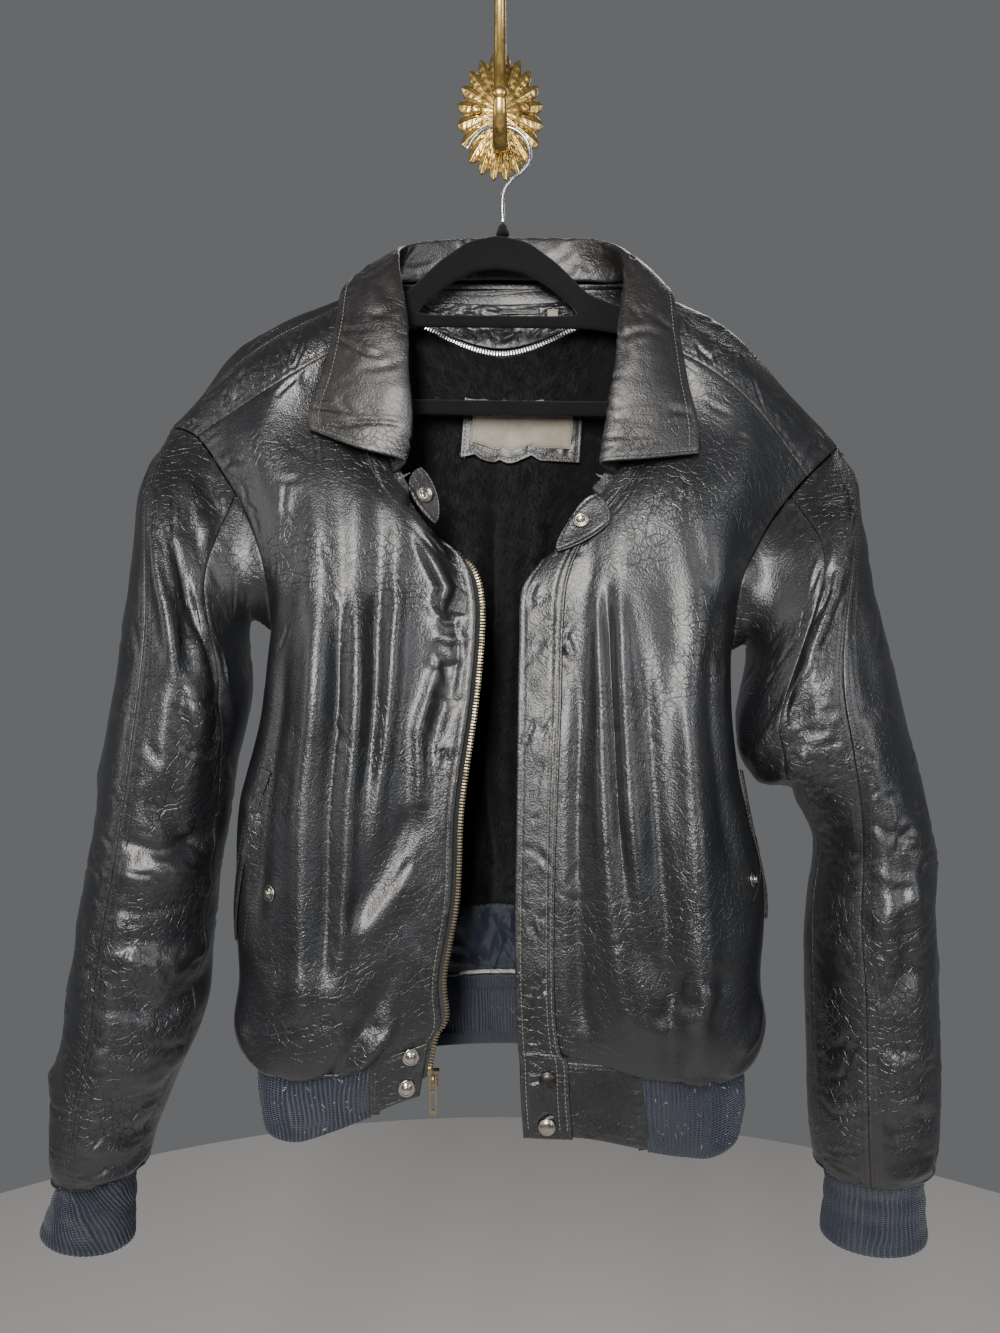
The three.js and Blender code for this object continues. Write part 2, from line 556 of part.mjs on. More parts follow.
const ringsRight = [
  { x: 236, y: -68, z: -395, wide: 42, deep: 48, turn: 40, slope: 1.4, slack: 0.8 },
  { x: 239, y: -73, z: -470, wide: 54, deep: 60, turn: 82, slope: 0.7, slack: 0.6 },
  { x: 251, y: -76, z: -528, wide: 59, deep: 62, turn: 89, slope: 0.3, slack: 0.4 },
  { x: 273, y: -76, z: -559, wide: 47, deep: 60, turn: 108, slope: 0.15, slack: 0.2 },
  { x: 287, y: -77, z: -602, wide: 41, deep: 62, turn: 127, slope: 0.1 },
  { x: 285, y: -76, z: -650, wide: 45, deep: 62, turn: 123, slope: 0.05 },
  { x: 285, y: -76, z: -710, wide: 47, deep: 60, turn: 117, slope: 0.02 },
  { x: 287, y: -75, z: -767, wide: 48, deep: 56, turn: 116, slope: 0.02 },
  { x: 288, y: -75, z: -815, wide: 48, deep: 51, turn: 114, slope: 0.02 },
  { x: 289, y: -74, z: -849, wide: 44, deep: 44, turn: 112, slope: 0.02 },
  { x: 289, y: -74, z: -846, wide: 38, deep: 37, turn: 112, slope: 0.02 },
];
const sleeveRowsL = [armholeLeft, ...ringsLeft.map((ring) => sleeveRing(ring, -1))];
const sleeveRowsR = [armholeRight, ...ringsRight.map((ring) => sleeveRing(ring, 1))];

// Sleeve folds, as shares of the way round and of the length.
const SLEEVE_PANEL = [370, 600];
const sleeveFoldsL = [
  { path: [[0.02, 0.1], [0.12, 0.2], [0.22, 0.24]], rise: 5, width: 11 },
  { path: [[0.1, 0.08], [0.2, 0.14], [0.3, 0.24]], rise: -4, width: 9 },
  { path: [[0.04, 0.3], [0.16, 0.36], [0.3, 0.34]], rise: -4, width: 11 },
  { path: [[0.06, 0.4], [0.18, 0.42], [0.3, 0.48]], rise: 4, width: 12 },
  { path: [[0.04, 0.58], [0.16, 0.61], [0.34, 0.58]], rise: -5, width: 9 },
  { path: [[0.03, 0.54], [0.14, 0.565], [0.32, 0.54]], rise: 5, width: 10 },
  { path: [[0.05, 0.66], [0.18, 0.7], [0.3, 0.66]], rise: 3.5, width: 11 },
  { path: [[0.05, 0.76], [0.17, 0.79], [0.3, 0.8]], rise: -3.5, width: 10 },
  { path: [[0.04, 0.86], [0.16, 0.88], [0.32, 0.87]], rise: 3, width: 10 },
  { path: [[0.62, 0.3], [0.75, 0.34], [0.9, 0.3]], rise: 3.5, width: 13 },
  { path: [[0.6, 0.52], [0.76, 0.56], [0.92, 0.55]], rise: -4, width: 12 },
  { path: [[0.62, 0.7], [0.78, 0.72], [0.92, 0.7]], rise: 3.5, width: 12 },
];
const sleeveFoldsR = [
  { path: [[0.04, 0.1], [0.14, 0.2], [0.3, 0.26]], rise: 4.5, width: 11 },
  { path: [[0.12, 0.3], [0.24, 0.36], [0.4, 0.36]], rise: -4, width: 10 },
  { path: [[0.05, 0.24], [0.2, 0.3], [0.36, 0.3]], rise: 4, width: 11 },
  { path: [[0.82, 0.5], [0.92, 0.53], [0.98, 0.56]], rise: 4, width: 11 },
  { path: [[0.8, 0.6], [0.9, 0.6], [0.98, 0.64]], rise: -4, width: 10 },
  { path: [[0.8, 0.68], [0.9, 0.7], [0.98, 0.72]], rise: 3.5, width: 10 },
  { path: [[0.8, 0.78], [0.9, 0.79], [0.97, 0.8]], rise: -3.5, width: 10 },
  { path: [[0.8, 0.87], [0.9, 0.87], [0.98, 0.88]], rise: 3, width: 10 },
  { path: [[0.5, 0.4], [0.62, 0.44], [0.76, 0.42]], rise: -4, width: 13 },
  { path: [[0.5, 0.6], [0.64, 0.62], [0.76, 0.6]], rise: 3.5, width: 12 },
];
const SLEEVE_HOLD = [0.1, 22]; // how close to its lengthwise and its end seams a sleeve's folds run
const tubeL = sheet(sleeveRowsL, { top: (s) => armL(10 * s) }, true);
const tubeR = sheet(sleeveRowsR, { top: (s) => armR(10 * s) }, true);
const sleeveL = folded(tubeL, SLEEVE_PANEL, -1, sleeveFoldsL, SLEEVE_HOLD);
const sleeveR = folded(tubeR, SLEEVE_PANEL, 1, sleeveFoldsR, SLEEVE_HOLD);

// Cuffs: closed rings around the sleeve's end, turned as the photo shows the left one.
function cuffSheet(rings) {
  const rows = rings.map(({ x, y, z, wide, deep, twist, dip }) => {
    const turn = (twist * Math.PI) / 180;
    return Array.from({ length: 10 }, (_, i) => {
      const angle = (i * 36 * Math.PI) / 180;
      const across = wide * Math.cos(angle);
      const along = deep * Math.sin(angle);
      const dx = across * Math.cos(turn) - along * Math.sin(turn);
      const dy = across * Math.sin(turn) + along * Math.cos(turn);
      return [x + dx, y + dy, z + dip * dy];
    });
  });
  return sheet(rows, {}, true);
}
const cuffL = cuffSheet([
  { x: -309, y: -74, z: -850, wide: 27.6, deep: 34.6, twist: 0, dip: 0 },
  { x: -315, y: -72, z: -878, wide: 30, deep: 38, twist: 36, dip: 0.03 },
  { x: -321, y: -70, z: -906, wide: 30, deep: 41, twist: 62, dip: 0.05 },
]);
const cuffR = cuffSheet([
  { x: 289, y: -74, z: -847, wide: 36.6, deep: 35.6, twist: 0, dip: 0 },
  { x: 290, y: -74, z: -876, wide: 38, deep: 32, twist: 0, dip: 0 },
  { x: 289, y: -74, z: -905, wide: 40, deep: 33, twist: 0, dip: 0.03 },
]);

// Collar: from the neck seam up the stand, over the roll line and down the fall to its outer edge.
const collarStand = [
  [-75, -91, -323], [-77, -87, -289], [-83, -83, -247], [-88, -75, -206], [-89, -55, -159],
  [-82, -32, -142], [-42, -22, -134], [0, -20, -132], [43, -22, -134], [88, -32, -142],
  [98, -56, -159], [101, -75, -206], [94, -85, -248], [87, -89, -290], [79, -94, -325],
];
const collarRoll = [
  [-74, -99, -318], [-67, -99, -283], [-69, -96, -245], [-71, -84, -199], [-80, -60, -146],
  [-76, -36, -125], [-42, -22, -114], [0, -18, -111], [44, -22, -113], [82, -38, -122],
  [98, -60, -144], [91, -85, -198], [86, -96, -245], [79, -101, -288], [75, -105, -320],
];
const collarFall = [
  [-108, -101, -308], [-105, -99, -277], [-102, -96, -243], [-100, -88, -202], [-102, -65, -155],
  [-92, -28, -134], [-48, -11, -126], [0, -8, -125], [50, -11, -126], [99, -28, -133],
  [116, -66, -155], [114, -90, -203], [114, -99, -246], [113, -104, -288], [110, -108, -317],
];
const collarEdge = [
  [-146, -90, -289], [-147, -88, -270], [-136, -85, -240], [-128, -79, -203], [-123, -63, -168],
  [-108, -22, -152], [-54, -8, -160], [0, -7, -165], [56, -8, -160], [114, -22, -152],
  [134, -64, -171], [139, -81, -213], [144, -89, -250], [151, -98, -288], [149, -104, -311],
];
const collarRows = [neck, collarStand, collarRoll, collarFall, collarEdge];
const collar = sheet(collarRows, { top: (s) => neckSeam(14 * s) });

// A strip along the edge of a front, lifted off it; from and to are millimetres in front of the edge.
function edgeStrip(surface, outward, from, to, lift, t) {
  return (u, v) => {
    const height = t[0] + (t[1] - t[0]) * v;
    const beyond = from + (to - from) * u;
    const width = span((k) => surface(k, height));
    const inside = clamp(1 + beyond / width, 0, 1);
    const point = surface(inside, height);
    const normal = normalOf(surface, inside, height, outward);
    const ahead = unit(minus(surface(1, height), surface(0.97, height)));
    const reach = beyond > 0 ? beyond : 0;
    return plus(point, plus(times(ahead, reach), times(normal, lift)));
  };
}

// The place on a surface that lies at a given x and z, by Newton steps.
function placeAt(surface, x, z, s, t) {
  const step = 0.002;
  for (let i = 0; i < 12; i++) {
    const here = surface(s, t);
    const ds = minus(surface(s + step, t), here);
    const dt = minus(surface(s, t + step), here);
    const det = (ds[0] * dt[2] - dt[0] * ds[2]) / step;
    const ex = x - here[0];
    const ez = z - here[2];
    s = clamp(s + (ex * dt[2] - dt[0] * ez) / det, 0, 1);
    t = clamp(t + (ds[0] * ez - ex * ds[2]) / det, 0, 1);
  }
  return [s, t];
}

// A four-sided patch on a surface, its corners given as x and z, lifted off it.
function patchOn(surface, outward, corners, lift, start) {
  return (u, v) => {
    const [a, b, c, d] = corners;
    const top = [a[0] + (b[0] - a[0]) * u, a[1] + (b[1] - a[1]) * u];
    const bottom = [d[0] + (c[0] - d[0]) * u, d[1] + (c[1] - d[1]) * u];
    const x = top[0] + (bottom[0] - top[0]) * v;
    const z = top[1] + (bottom[1] - top[1]) * v;
    const [s, t] = placeAt(surface, x, z, start[0], start[1]);
    return plus(surface(s, t), times(normalOf(surface, s, t, outward), lift));
  };
}

// A four-sided patch with its corners given as shares of the panel, lifted off it.
function patchShares(surface, outward, corners, lift) {
  return (u, v) => {
    const [a, b, c, d] = corners;
    const s = (a[0] * (1 - u) + b[0] * u) * (1 - v) + (d[0] * (1 - u) + c[0] * u) * v;
    const t = (a[1] * (1 - u) + b[1] * u) * (1 - v) + (d[1] * (1 - u) + c[1] * u) * v;
    return plus(surface(s, t), times(normalOf(surface, s, t, outward), lift));
  };
}

// A flat four-sided patch in space.
const patchFree = ([a, b, c, d]) => (u, v) => mix(mix(a, b, u), mix(d, c, u), v);

// The scene graph
const group = new THREE.Group();
const material = (look) => new THREE.MeshStandardMaterial(look);
function add(name, geometry, look) {
  const mesh = new THREE.Mesh(geometry, material(look));
  mesh.name = name;
  group.add(mesh);
  return mesh;
}

// Leather panels. The back's rows lie closer where its seams bend: along the armholes and near the hem.
const BACK_KNOTS = [
  0, 0.5, 1, 1.5, 2, 2.5, 3, 3.5, 4, 4.5, 5, 6, 7, 8, 9, 9.5, 10, 10.5, 11, 11.5, 12, 12.5, 13,
];
const BACK_STOPS = BACK_KNOTS.map((knot) => knot / 13);
const BACK_ACROSS = [0, 1, 2, 3, 4, 5, 5.5, 6, 6.5, 7, 8, 9, 10, 11, 12].map((knot) => knot / 12);
function addBody() {
  const panel = { cols: 14, rows: 22, thick: SHELL };
  add("front_left", wall(part(frontL, [0, 1], [0, HEM_SEAM]), { ...panel, outward: -1 }), leather);
  add("front_right", wall(part(frontR, [0, 1], [0, HEM_SEAM]), { ...panel, outward: 1 }), leather);
  add(
    "back",
    wall(part(back, [0, 1], [0, BACK_HEM]), {
      cols: BACK_ACROSS.length - 1,
      rows: BACK_STOPS.length - 1,
      thick: BACK_SHELL,
      outward: 1,
      stops: BACK_STOPS,
      across: BACK_ACROSS,
    }),
    leather,
  );
  const strip = { cols: 8, rows: 3, thick: BACK_SHELL, gap: 1 };
  add("yoke_left", wall(yokeL, { ...strip, outward: -1 }), leather);
  add("yoke_right", wall(yokeR, { ...strip, outward: 1 }), leather);
}

// Three panels to a sleeve: front, under and outer, between seams at these shares of the way round.
const SLEEVE_GAP = 1; // measured along the seam allowance, which leans at the shoulder point
const SLEEVE_SEAMS = { left: [0, 0.25, 0.5], right: [0, 0.15, 0.5] };
function addSleeve(side, surface, outward) {
  const [centre, under, hidden] = SLEEVE_SEAMS[side];
  const rows = 20;
  const around = 20;
  const spans = [
    ["front", centre, under, Math.round((under - centre) * around)],
    ["under", under, hidden, Math.round((hidden - under) * around)],
    ["outer", hidden, 1, Math.round((1 - hidden) * around)],
  ];
  for (const [name, from, to, cols] of spans) {
    const strip = part(surface, [from, to], [0, 1]);
    const panel = { cols, rows, thick: SHELL, outward, gap: SLEEVE_GAP, skive: 1.3 };
    add("sleeve_" + side + "_" + name, wall(strip, panel), leather);
  }
}

// Throat tabs: the left one goes on from the front's edge, the right one is folded back over the flap's top.
const leftEdge = (t) => plus(frontL(1, t), [1.6, -1, 1]);
const throatTabLeft = patchFree([leftEdge(0.012), [-60, -98, -312], [-45, -100, -340], leftEdge(0.09)]);
const throatTabRight = patchFree([
  [52, -99, -354], [72, -97.5, -331], [88, -109.5, -361], [35, -107.5, -388],
]);
function addCollar() {
  const whole = part(collar, [0.012, 0.988], [0.06, 1]);
  add("collar", wall(whole, { cols: 28, rows: 8, thick: COLLAR, outward: 1 }), leather);
  add("throat_tab_left", wall(throatTabLeft, { cols: 2, rows: 2, thick: STRAP, outward: -1 }), leather);
  add("throat_tab_right", wall(throatTabRight, { cols: 4, rows: 4, thick: STRAP, outward: -1 }), leather);
}

// Storm flap over the right front's edge, and the zip tapes behind both edges.
const FLAP_TOP = 0.155;
const FLAP_BEHIND = -21;
const FLAP_AHEAD = 15;
const flapStrip = edgeStrip(frontR, 1, FLAP_BEHIND, FLAP_AHEAD, STRAP + LIE_GAP, [FLAP_TOP, 1]);
const ZIP_LEFT = [0.1, 0.95];
const ZIP_RIGHT = [0.1, 0.93];
const TAPE_BEHIND = -9;
const TAPE_AHEAD = 6;
const TAPE_LIFT = -(SHELL + LIE_GAP);
function addFrontEdges() {
  add("storm_flap", wall(flapStrip, { cols: 4, rows: 20, thick: STRAP, outward: 1 }), leather);
  const tapeLeft = edgeStrip(frontL, -1, TAPE_BEHIND, TAPE_AHEAD, TAPE_LIFT, ZIP_LEFT);
  add("zip_tape_left", wall(tapeLeft, { cols: 2, rows: 18, thick: THIN, outward: -1 }), tape);
  const tapeRight = edgeStrip(frontR, 1, TAPE_BEHIND, TAPE_AHEAD, TAPE_LIFT, ZIP_RIGHT);
  add("zip_tape_right", wall(tapeRight, { cols: 2, rows: 18, thick: THIN, outward: 1 }), tape);
}

// Waistband: leather tabs at the front ends, rib knit between them around the back.
const RIB_START = 0.05; // of its height, just inside the leather that hangs over it
const TAB_START = 4 / 6; // where a tab begins, as a share of its front's width
const RIB_FRONT = 140; // how much of the band's length is in front of each side seam
const RIB_BEHIND = 470; // and how much is behind the back
const RIB_LONG = 2 * RIB_FRONT + RIB_BEHIND;
function waistStrip(u, v) {
  const drop = RIB_START + (1 - RIB_START) * v;
  const left = HEM_SEAM + (1 - HEM_SEAM) * drop;
  const behind = BACK_HEM + (1 - BACK_HEM) * drop;
  const x = u * RIB_LONG;
  const beyond = x - RIB_FRONT;
  if (beyond < 0) return frontL(TAB_START * (1 - x / RIB_FRONT), left);
  if (beyond < RIB_BEHIND) return back(beyond / RIB_BEHIND, behind);
  return frontR((TAB_START * (beyond - RIB_BEHIND)) / RIB_FRONT, left);
}
function addWaist() {
  const low = [HEM_SEAM, 1];
  add(
    "hem_tab_left",
    wall(part(frontL, [TAB_START, 1], low), { cols: 4, rows: 3, thick: SHELL, outward: -1 }),
    leather,
  );
  add(
    "hem_tab_right",
    wall(part(frontR, [TAB_START, 1], low), { cols: 5, rows: 3, thick: SHELL, outward: 1 }),
    leather,
  );
  const ribs = 2 * Math.round(RIB_LONG / RIB_PITCH / 2);
  add("waist_rib", ribBand(waistStrip, { ribs, rows: 1, outward: 1, closed: false }), knit);
}

const CUFF_RIBS = 56;
function addCuffs() {
  const ribs = CUFF_RIBS;
  add("cuff_left", ribBand(cuffL, { ribs, rows: 1, outward: -1, closed: true }), knit);
  add("cuff_right", ribBand(cuffR, { ribs, rows: 1, outward: -1, closed: true }), knit);
}

// Inside of the back: leather facing, tape of the liner zip, pile, nylon, each made from the back's points.
// They lie against the back at the neck seam and hang a little clear of it below.
const LINER_CLEAR = 4.5;
const FACING_TOP = 0.1;
const ZIP_LINE = 0.1355; // share of the back's height where the liner zip lies at its ends
const ZIP_SAG = 0.019; // and how much lower it lies in the middle
const ZIP_TALL = 0.0055;
const PILE_END = 0.655;
const NYLON_END = 0.773;
function inside(span, top, bottom, extra = 0) {
  return (u, v) => {
    const s = span[0] + (span[1] - span[0]) * u;
    const t = top(s) + (bottom(s) - top(s)) * v;
    const lift = BACK_SHELL + LIE_GAP + LINER_CLEAR * smooth((t - FACING_TOP) / 0.06) + extra;
    return plus(back(s, t), times(normalOf(back, s, t, 1), -lift));
  };
}
const level = (t) => () => t;
const zipLine = (below) => (s) => ZIP_LINE + below + ZIP_SAG * Math.max(0, 1 - (12 * (s - 0.5)) ** 2);
const NECK_SPAN = [5 / 12, 7 / 12];
const LINING_SPAN = [1 / 12, 11 / 12];
const LINING_ACROSS = [0, 1, 2, 3, 4, 4.5, 5, 5.5, 6, 7, 8, 9, 10].map((knot) => knot / 10);
const facing = (extra) => inside(NECK_SPAN, level(FACING_TOP), zipLine(0), extra);
const pileSurface = (extra) => inside(LINING_SPAN, zipLine(ZIP_TALL), level(PILE_END), extra);
function addInside() {
  add("neck_facing", wall(facing(0.3), { cols: 4, rows: 4, thick: THIN, outward: 1, gap: 0.8 }), leather);
  const zip = inside(NECK_SPAN, zipLine(0), zipLine(ZIP_TALL));
  add("liner_zip_tape", wall(zip, { cols: 4, rows: 1, thick: THIN, outward: 1, gap: 0.8 }), tape);
  const pileGrid = { cols: 12, rows: 7, across: LINING_ACROSS };
  add("pile_lining", wall(pileSurface(0), { ...pileGrid, thick: PILE, outward: 1 }), pile);
  const hemLining = inside(LINING_SPAN, level(PILE_END), level(NYLON_END));
  add("nylon_hem_lining", wall(hemLining, { cols: 10, rows: 3, thick: THIN, outward: 1 }), nylon);
}

// Hanging loop and two small cloth tabs under the neck seam.
function addNeckTrim() {
  const ground = facing(0.3 + THIN + 1.5 * LIE_GAP);
  const trim = (corners) => patchOn(ground, 1, corners, 0, [0.5, 0.3]);
  const loop = trim([[2, -171], [33, -171], [33, -176], [2, -176]]);
  add("hanging_loop", wall(loop, { cols: 2, rows: 1, thick: 1, outward: 1 }), leather);
  const left = trim([[8, -177], [18, -177], [18, -187], [8, -187]]);
  add("neck_tab_left", wall(left, { cols: 1, rows: 1, thick: 1, outward: 1 }), cream);
  const right = trim([[39, -172], [48, -172], [48, -183], [39, -183]]);
  add("neck_tab_right", wall(right, { cols: 1, rows: 1, thick: 1, outward: 1 }), cream);
}

function addLabels() {
  const lining = pileSurface(PILE + 2 * LIE_GAP);
  const frame = [[-29, -246], [69, -250], [66, -300], [-33, -296]];
  const patch = patchOn(lining, 1, frame, 0, [0.5, 0.1]);
  add("patch_frame", wall(patch, { cols: 4, rows: 3, thick: THIN, outward: 1 }), leather);
  const field = [[-22, -259], [60, -262], [58, -289], [-25, -286]];
  const cloth = patchOn(lining, 1, field, -(THIN + LIE_GAP), [0.5, 0.1]);
  add("patch_field", wall(cloth, { cols: 4, rows: 2, thick: 1, outward: 1 }), cream);
}

// Welt pockets on the fronts' sides.
const weltLeft = [[0.235, 0.43], [0.275, 0.434], [0.15, 0.578], [0.11, 0.576]];
const weltRight = [[0.13, 0.43], [0.17, 0.428], [0.14, 0.558], [0.1, 0.56]];
function addPockets() {
  const lift = THIN + LIE_GAP;
  const left = patchShares(frontL, -1, weltLeft, lift);
  const right = patchShares(frontR, 1, weltRight, lift);
  add("pocket_welt_left", wall(left, { cols: 2, rows: 9, thick: THIN, outward: -1 }), leather);
  add("pocket_welt_right", wall(right, { cols: 2, rows: 9, thick: THIN, outward: 1 }), leather);
}

// A snap on a surface: a cap is domed, a socket has a ring and a hollow, a stud has a small head.
const SNAP_PROFILES = {
  cap: [[0, 0], [6.3, 0], [6.3, 0.8], [5.4, 1.7], [3, 2.4], [0, 2.6]],
  socket: [[0, 0], [6.3, 0], [6.3, 1.2], [5, 2.2], [3.2, 2.2], [2.2, 1.2], [0, 1.2]],
  stud: [[0, 0], [6.3, 0], [6.3, 0.9], [3.4, 1.3], [2.4, 2], [2.7, 3.2], [0, 3.6]],
};
function addSnap(name, kind, surface, outward, s, t, lift) {
  const profile = SNAP_PROFILES[kind].map(([r, h]) => new THREE.Vector2((r / 6.3) * SNAP_RADIUS, h));
  const geometry = new THREE.LatheGeometry(profile, 10);
  const normal = new THREE.Vector3(...normalOf(surface, s, t, outward));
  geometry.applyQuaternion(new THREE.Quaternion().setFromUnitVectors(new THREE.Vector3(0, 1, 0), normal));
  const place = new THREE.Vector3(...surface(s, t)).addScaledVector(normal, lift);
  add(name, geometry, nickel).position.copy(place);
}
function addSnaps() {
  const near = 1;
  const sunk = -0.1; // on a hollow of the front
  addSnap("snap_pocket_left", "stud", frontL, -1, 0.321, 0.528, sunk);
  addSnap("snap_pocket_right", "stud", frontR, 1, 0.222, 0.518, sunk);
  addSnap("snap_hem_left_top", "stud", frontL, -1, 0.91, 0.87, near);
  addSnap("snap_hem_left_low", "stud", frontL, -1, 0.91, 0.955, near);
  addSnap("snap_flap_top", "cap", flapStrip, 1, 0.44, 0.862, near);
  addSnap("snap_flap_low", "cap", flapStrip, 1, 0.5, 0.968, near);
  addSnap("snap_throat_left", "socket", throatTabLeft, -1, 0.5, 0.5, LIE_GAP);
  addSnap("snap_throat_right", "socket", throatTabRight, -1, 0.45, 0.42, LIE_GAP);
}

// Slider and pull tab of the main zip, at the foot of the left front.
const [PIVOT_X, PIVOT_Y, PIVOT_Z] = PULL_PIVOT;
const SLIDER_FACE = PIVOT_Y + 1.25; // the slider's front face
const SLIDER_DEPTH = 6.4; // from its face back to the tape
function addSlider(solid) {
  const body = new THREE.Shape();
  body.moveTo(-4.2, 6);
  body.lineTo(4.2, 6);
  body.lineTo(3.2, -5);
  body.lineTo(-3.2, -5);
  body.closePath();
  const plate = new THREE.ExtrudeGeometry(body, { depth: SLIDER_DEPTH, bevelEnabled: false });
  plate.rotateX(Math.PI / 2);
  plate.translate(PIVOT_X, SLIDER_FACE + SLIDER_DEPTH, PIVOT_Z);
  const wire = new THREE.Shape().absarc(0, 0, 0.7, 0, 2 * Math.PI, false);
  const high = PIVOT_Z + 3.3;
  const low = PIVOT_Z - 1.7;
  const bail = new THREE.CatmullRomCurve3([
    new THREE.Vector3(PIVOT_X, SLIDER_FACE + 0.5, high),
    new THREE.Vector3(PIVOT_X, SLIDER_FACE - 2, high),
    new THREE.Vector3(PIVOT_X, SLIDER_FACE - 3.2, high - 1.4),
    new THREE.Vector3(PIVOT_X, SLIDER_FACE - 3.2, low + 1.2),
    new THREE.Vector3(PIVOT_X, SLIDER_FACE - 2, low),
    new THREE.Vector3(PIVOT_X, SLIDER_FACE + 0.5, low),
  ]);
  const loop = new THREE.ExtrudeGeometry(wire, { steps: 14, extrudePath: bail, curveSegments: 3 });
  add("zip_slider", solid.join(plate, loop), zipBrass);
}
function addPullTab() {
  const half = 2.8;
  const length = 25;
  const outline = new THREE.Shape();
  outline.moveTo(-half, 0.6);
  outline.lineTo(half, 0.6);
  outline.lineTo(half, -length + 2);
  outline.absarc(0, -length + 2, half, 0, -Math.PI, true);
  outline.closePath();
  const rectangle = (left, top, wide, high) =>
    new THREE.Path().setFromPoints([
      new THREE.Vector2(left, top),
      new THREE.Vector2(left, top - high),
      new THREE.Vector2(left + wide, top - high),
      new THREE.Vector2(left + wide, top),
    ]);
  outline.holes.push(rectangle(-1.5, -0.6, 3, 6.6), rectangle(-1.3, -9, 2.6, 12.5));
  const geometry = new THREE.ExtrudeGeometry(outline, { depth: 1.2, bevelEnabled: false, curveSegments: 4 });
  geometry.rotateX(Math.PI / 2);
  geometry.translate(0, 0.6, 0);
  add("zip_pull", geometry, zipBrass).position.set(...PULL_PIVOT);
}

// Hanger: arms and two bars cut from one plate, seen from the front, tilted a little to the right.
const HANGER_TILT = -0.012;
const armTop = [
  [0, -121], [24, -126], [48, -143], [72, -167], [95, -176], [129, -179.5], [150, -188], [167, -197],
  [188, -208.5], [203, -222], [209, -234],
];
const hangerFoot = [[207, -248], [196, -262], [180, -265]];
const archHole = [[0, -147], [20, -150], [40, -160.5], [58, -175], [66, -185.5]];
const middleHole = [
  [74, -194.5], [95, -198], [129, -201], [150, -207], [167, -214], [183, -225], [192, -237], [190, -248],
  [182, -253.5],
];
function mirrored(points) {
  const other = points.filter(([x]) => x > 0).map(([x, y]) => [-x, y]);
  return [...points.slice().reverse(), ...other].map(([x, y]) => new THREE.Vector2(x, y));
}
function addHanger() {
  const outline = new THREE.Shape(mirrored([...armTop, ...hangerFoot]));
  outline.holes.push(new THREE.Path(mirrored(archHole)));
  outline.holes.push(new THREE.Path(mirrored(middleHole)));
  const geometry = new THREE.ExtrudeGeometry(outline, { depth: HANGER_THICK, bevelEnabled: false });
  geometry.rotateX(Math.PI / 2);
  geometry.translate(0, HANGER_FRONT + HANGER_THICK, 0);
  geometry.rotateY(-HANGER_TILT);
  add("hanger", geometry, flock);
}
const HANGER_MIDDLE = HANGER_FRONT + HANGER_THICK / 2;
function addHangerHook() {
  const collarProfile = [[0, 0], [5.5, 0], [5.2, 3], [3.6, 7], [3, 8.5], [0, 8.5]];
  const ferrule = new THREE.LatheGeometry(collarProfile.map(([r, h]) => new THREE.Vector2(r, h)), 12);
  ferrule.rotateX(Math.PI / 2);
  ferrule.translate(2.2, HANGER_MIDDLE, -120.9);
  add("hanger_ferrule", ferrule, flock);
  const points = [
    [2.3, -112], [2.4, -88], [8, -77], [17.5, -69], [23.6, -60], [22.6, -47], [14, -36.6], [0, -32.6],
    [-13, -35.4], [-22.5, -43.5], [-27, -52],
  ];
  const curve = new THREE.CatmullRomCurve3(points.map(([x, z]) => new THREE.Vector3(x, HANGER_MIDDLE, z)));
  const section = new THREE.Shape().absarc(0, 0, WIRE, 0, 2 * Math.PI, false);
  const wire = new THREE.ExtrudeGeometry(section, { steps: 30, extrudePath: curve, curveSegments: 3 });
  add("hanger_wire", wire, chrome);
}

// Wall hook: an oval rosette of leaves with a flat back, a long upper arm and a short lower prong.
const PETALS = 20;
const ROSETTE_HALF = 36.5; // half its width
const ROSETTE_UP = 52; // from its centre to its highest and its lowest leaf
const ROSETTE_DOWN = 56;
function rosette() {
  const perPetal = 2;
  const around = PETALS * perPetal;
  const rings = [[1, 1.6], [0.86, 3.4], [0.6, 5.2], [0.34, 6.6]];
  const points = [];
  for (const [share, depth] of rings) {
    for (let i = 0; i < around; i++) {
      const angle = (2 * Math.PI * i) / around;
      const tip = Math.abs(((i % perPetal) - perPetal / 2) / (perPetal / 2));
      const notch = 1 - (share > 0.8 ? 0.13 : 0.03) * tip;
      const vein = depth - 1.1 * tip * share;
      const tall = angle > Math.PI ? ROSETTE_DOWN : ROSETTE_UP;
      const radius = share * notch;
      points.push([ROSETTE_HALF * radius * Math.cos(angle), -vein, tall * radius * Math.sin(angle)]);
    }
  }
  const rim = points.length;
  for (let i = 0; i < around; i++) points.push([points[i][0], 0, points[i][2]]);
  const front = points.length;
  points.push([0, -7.4, 0], [0, 0, 0]);
  const triangles = [];
  for (let i = 0; i < around; i++) {
    const next = (i + 1) % around;
    for (let k = 0; k + 1 < rings.length; k++) {
      const [a, b, c, d] = [k * around + i, k * around + next, (k + 1) * around + next, (k + 1) * around + i];
      triangles.push([a, b, c], [a, c, d]);
    }
    const last = (rings.length - 1) * around;
    triangles.push([last + i, last + next, front]);
    triangles.push([rim + next, i, rim + i], [rim + next, next, i]);
    triangles.push([rim + next, rim + i, front + 1]);
  }
  return meshed(points, triangles);
}
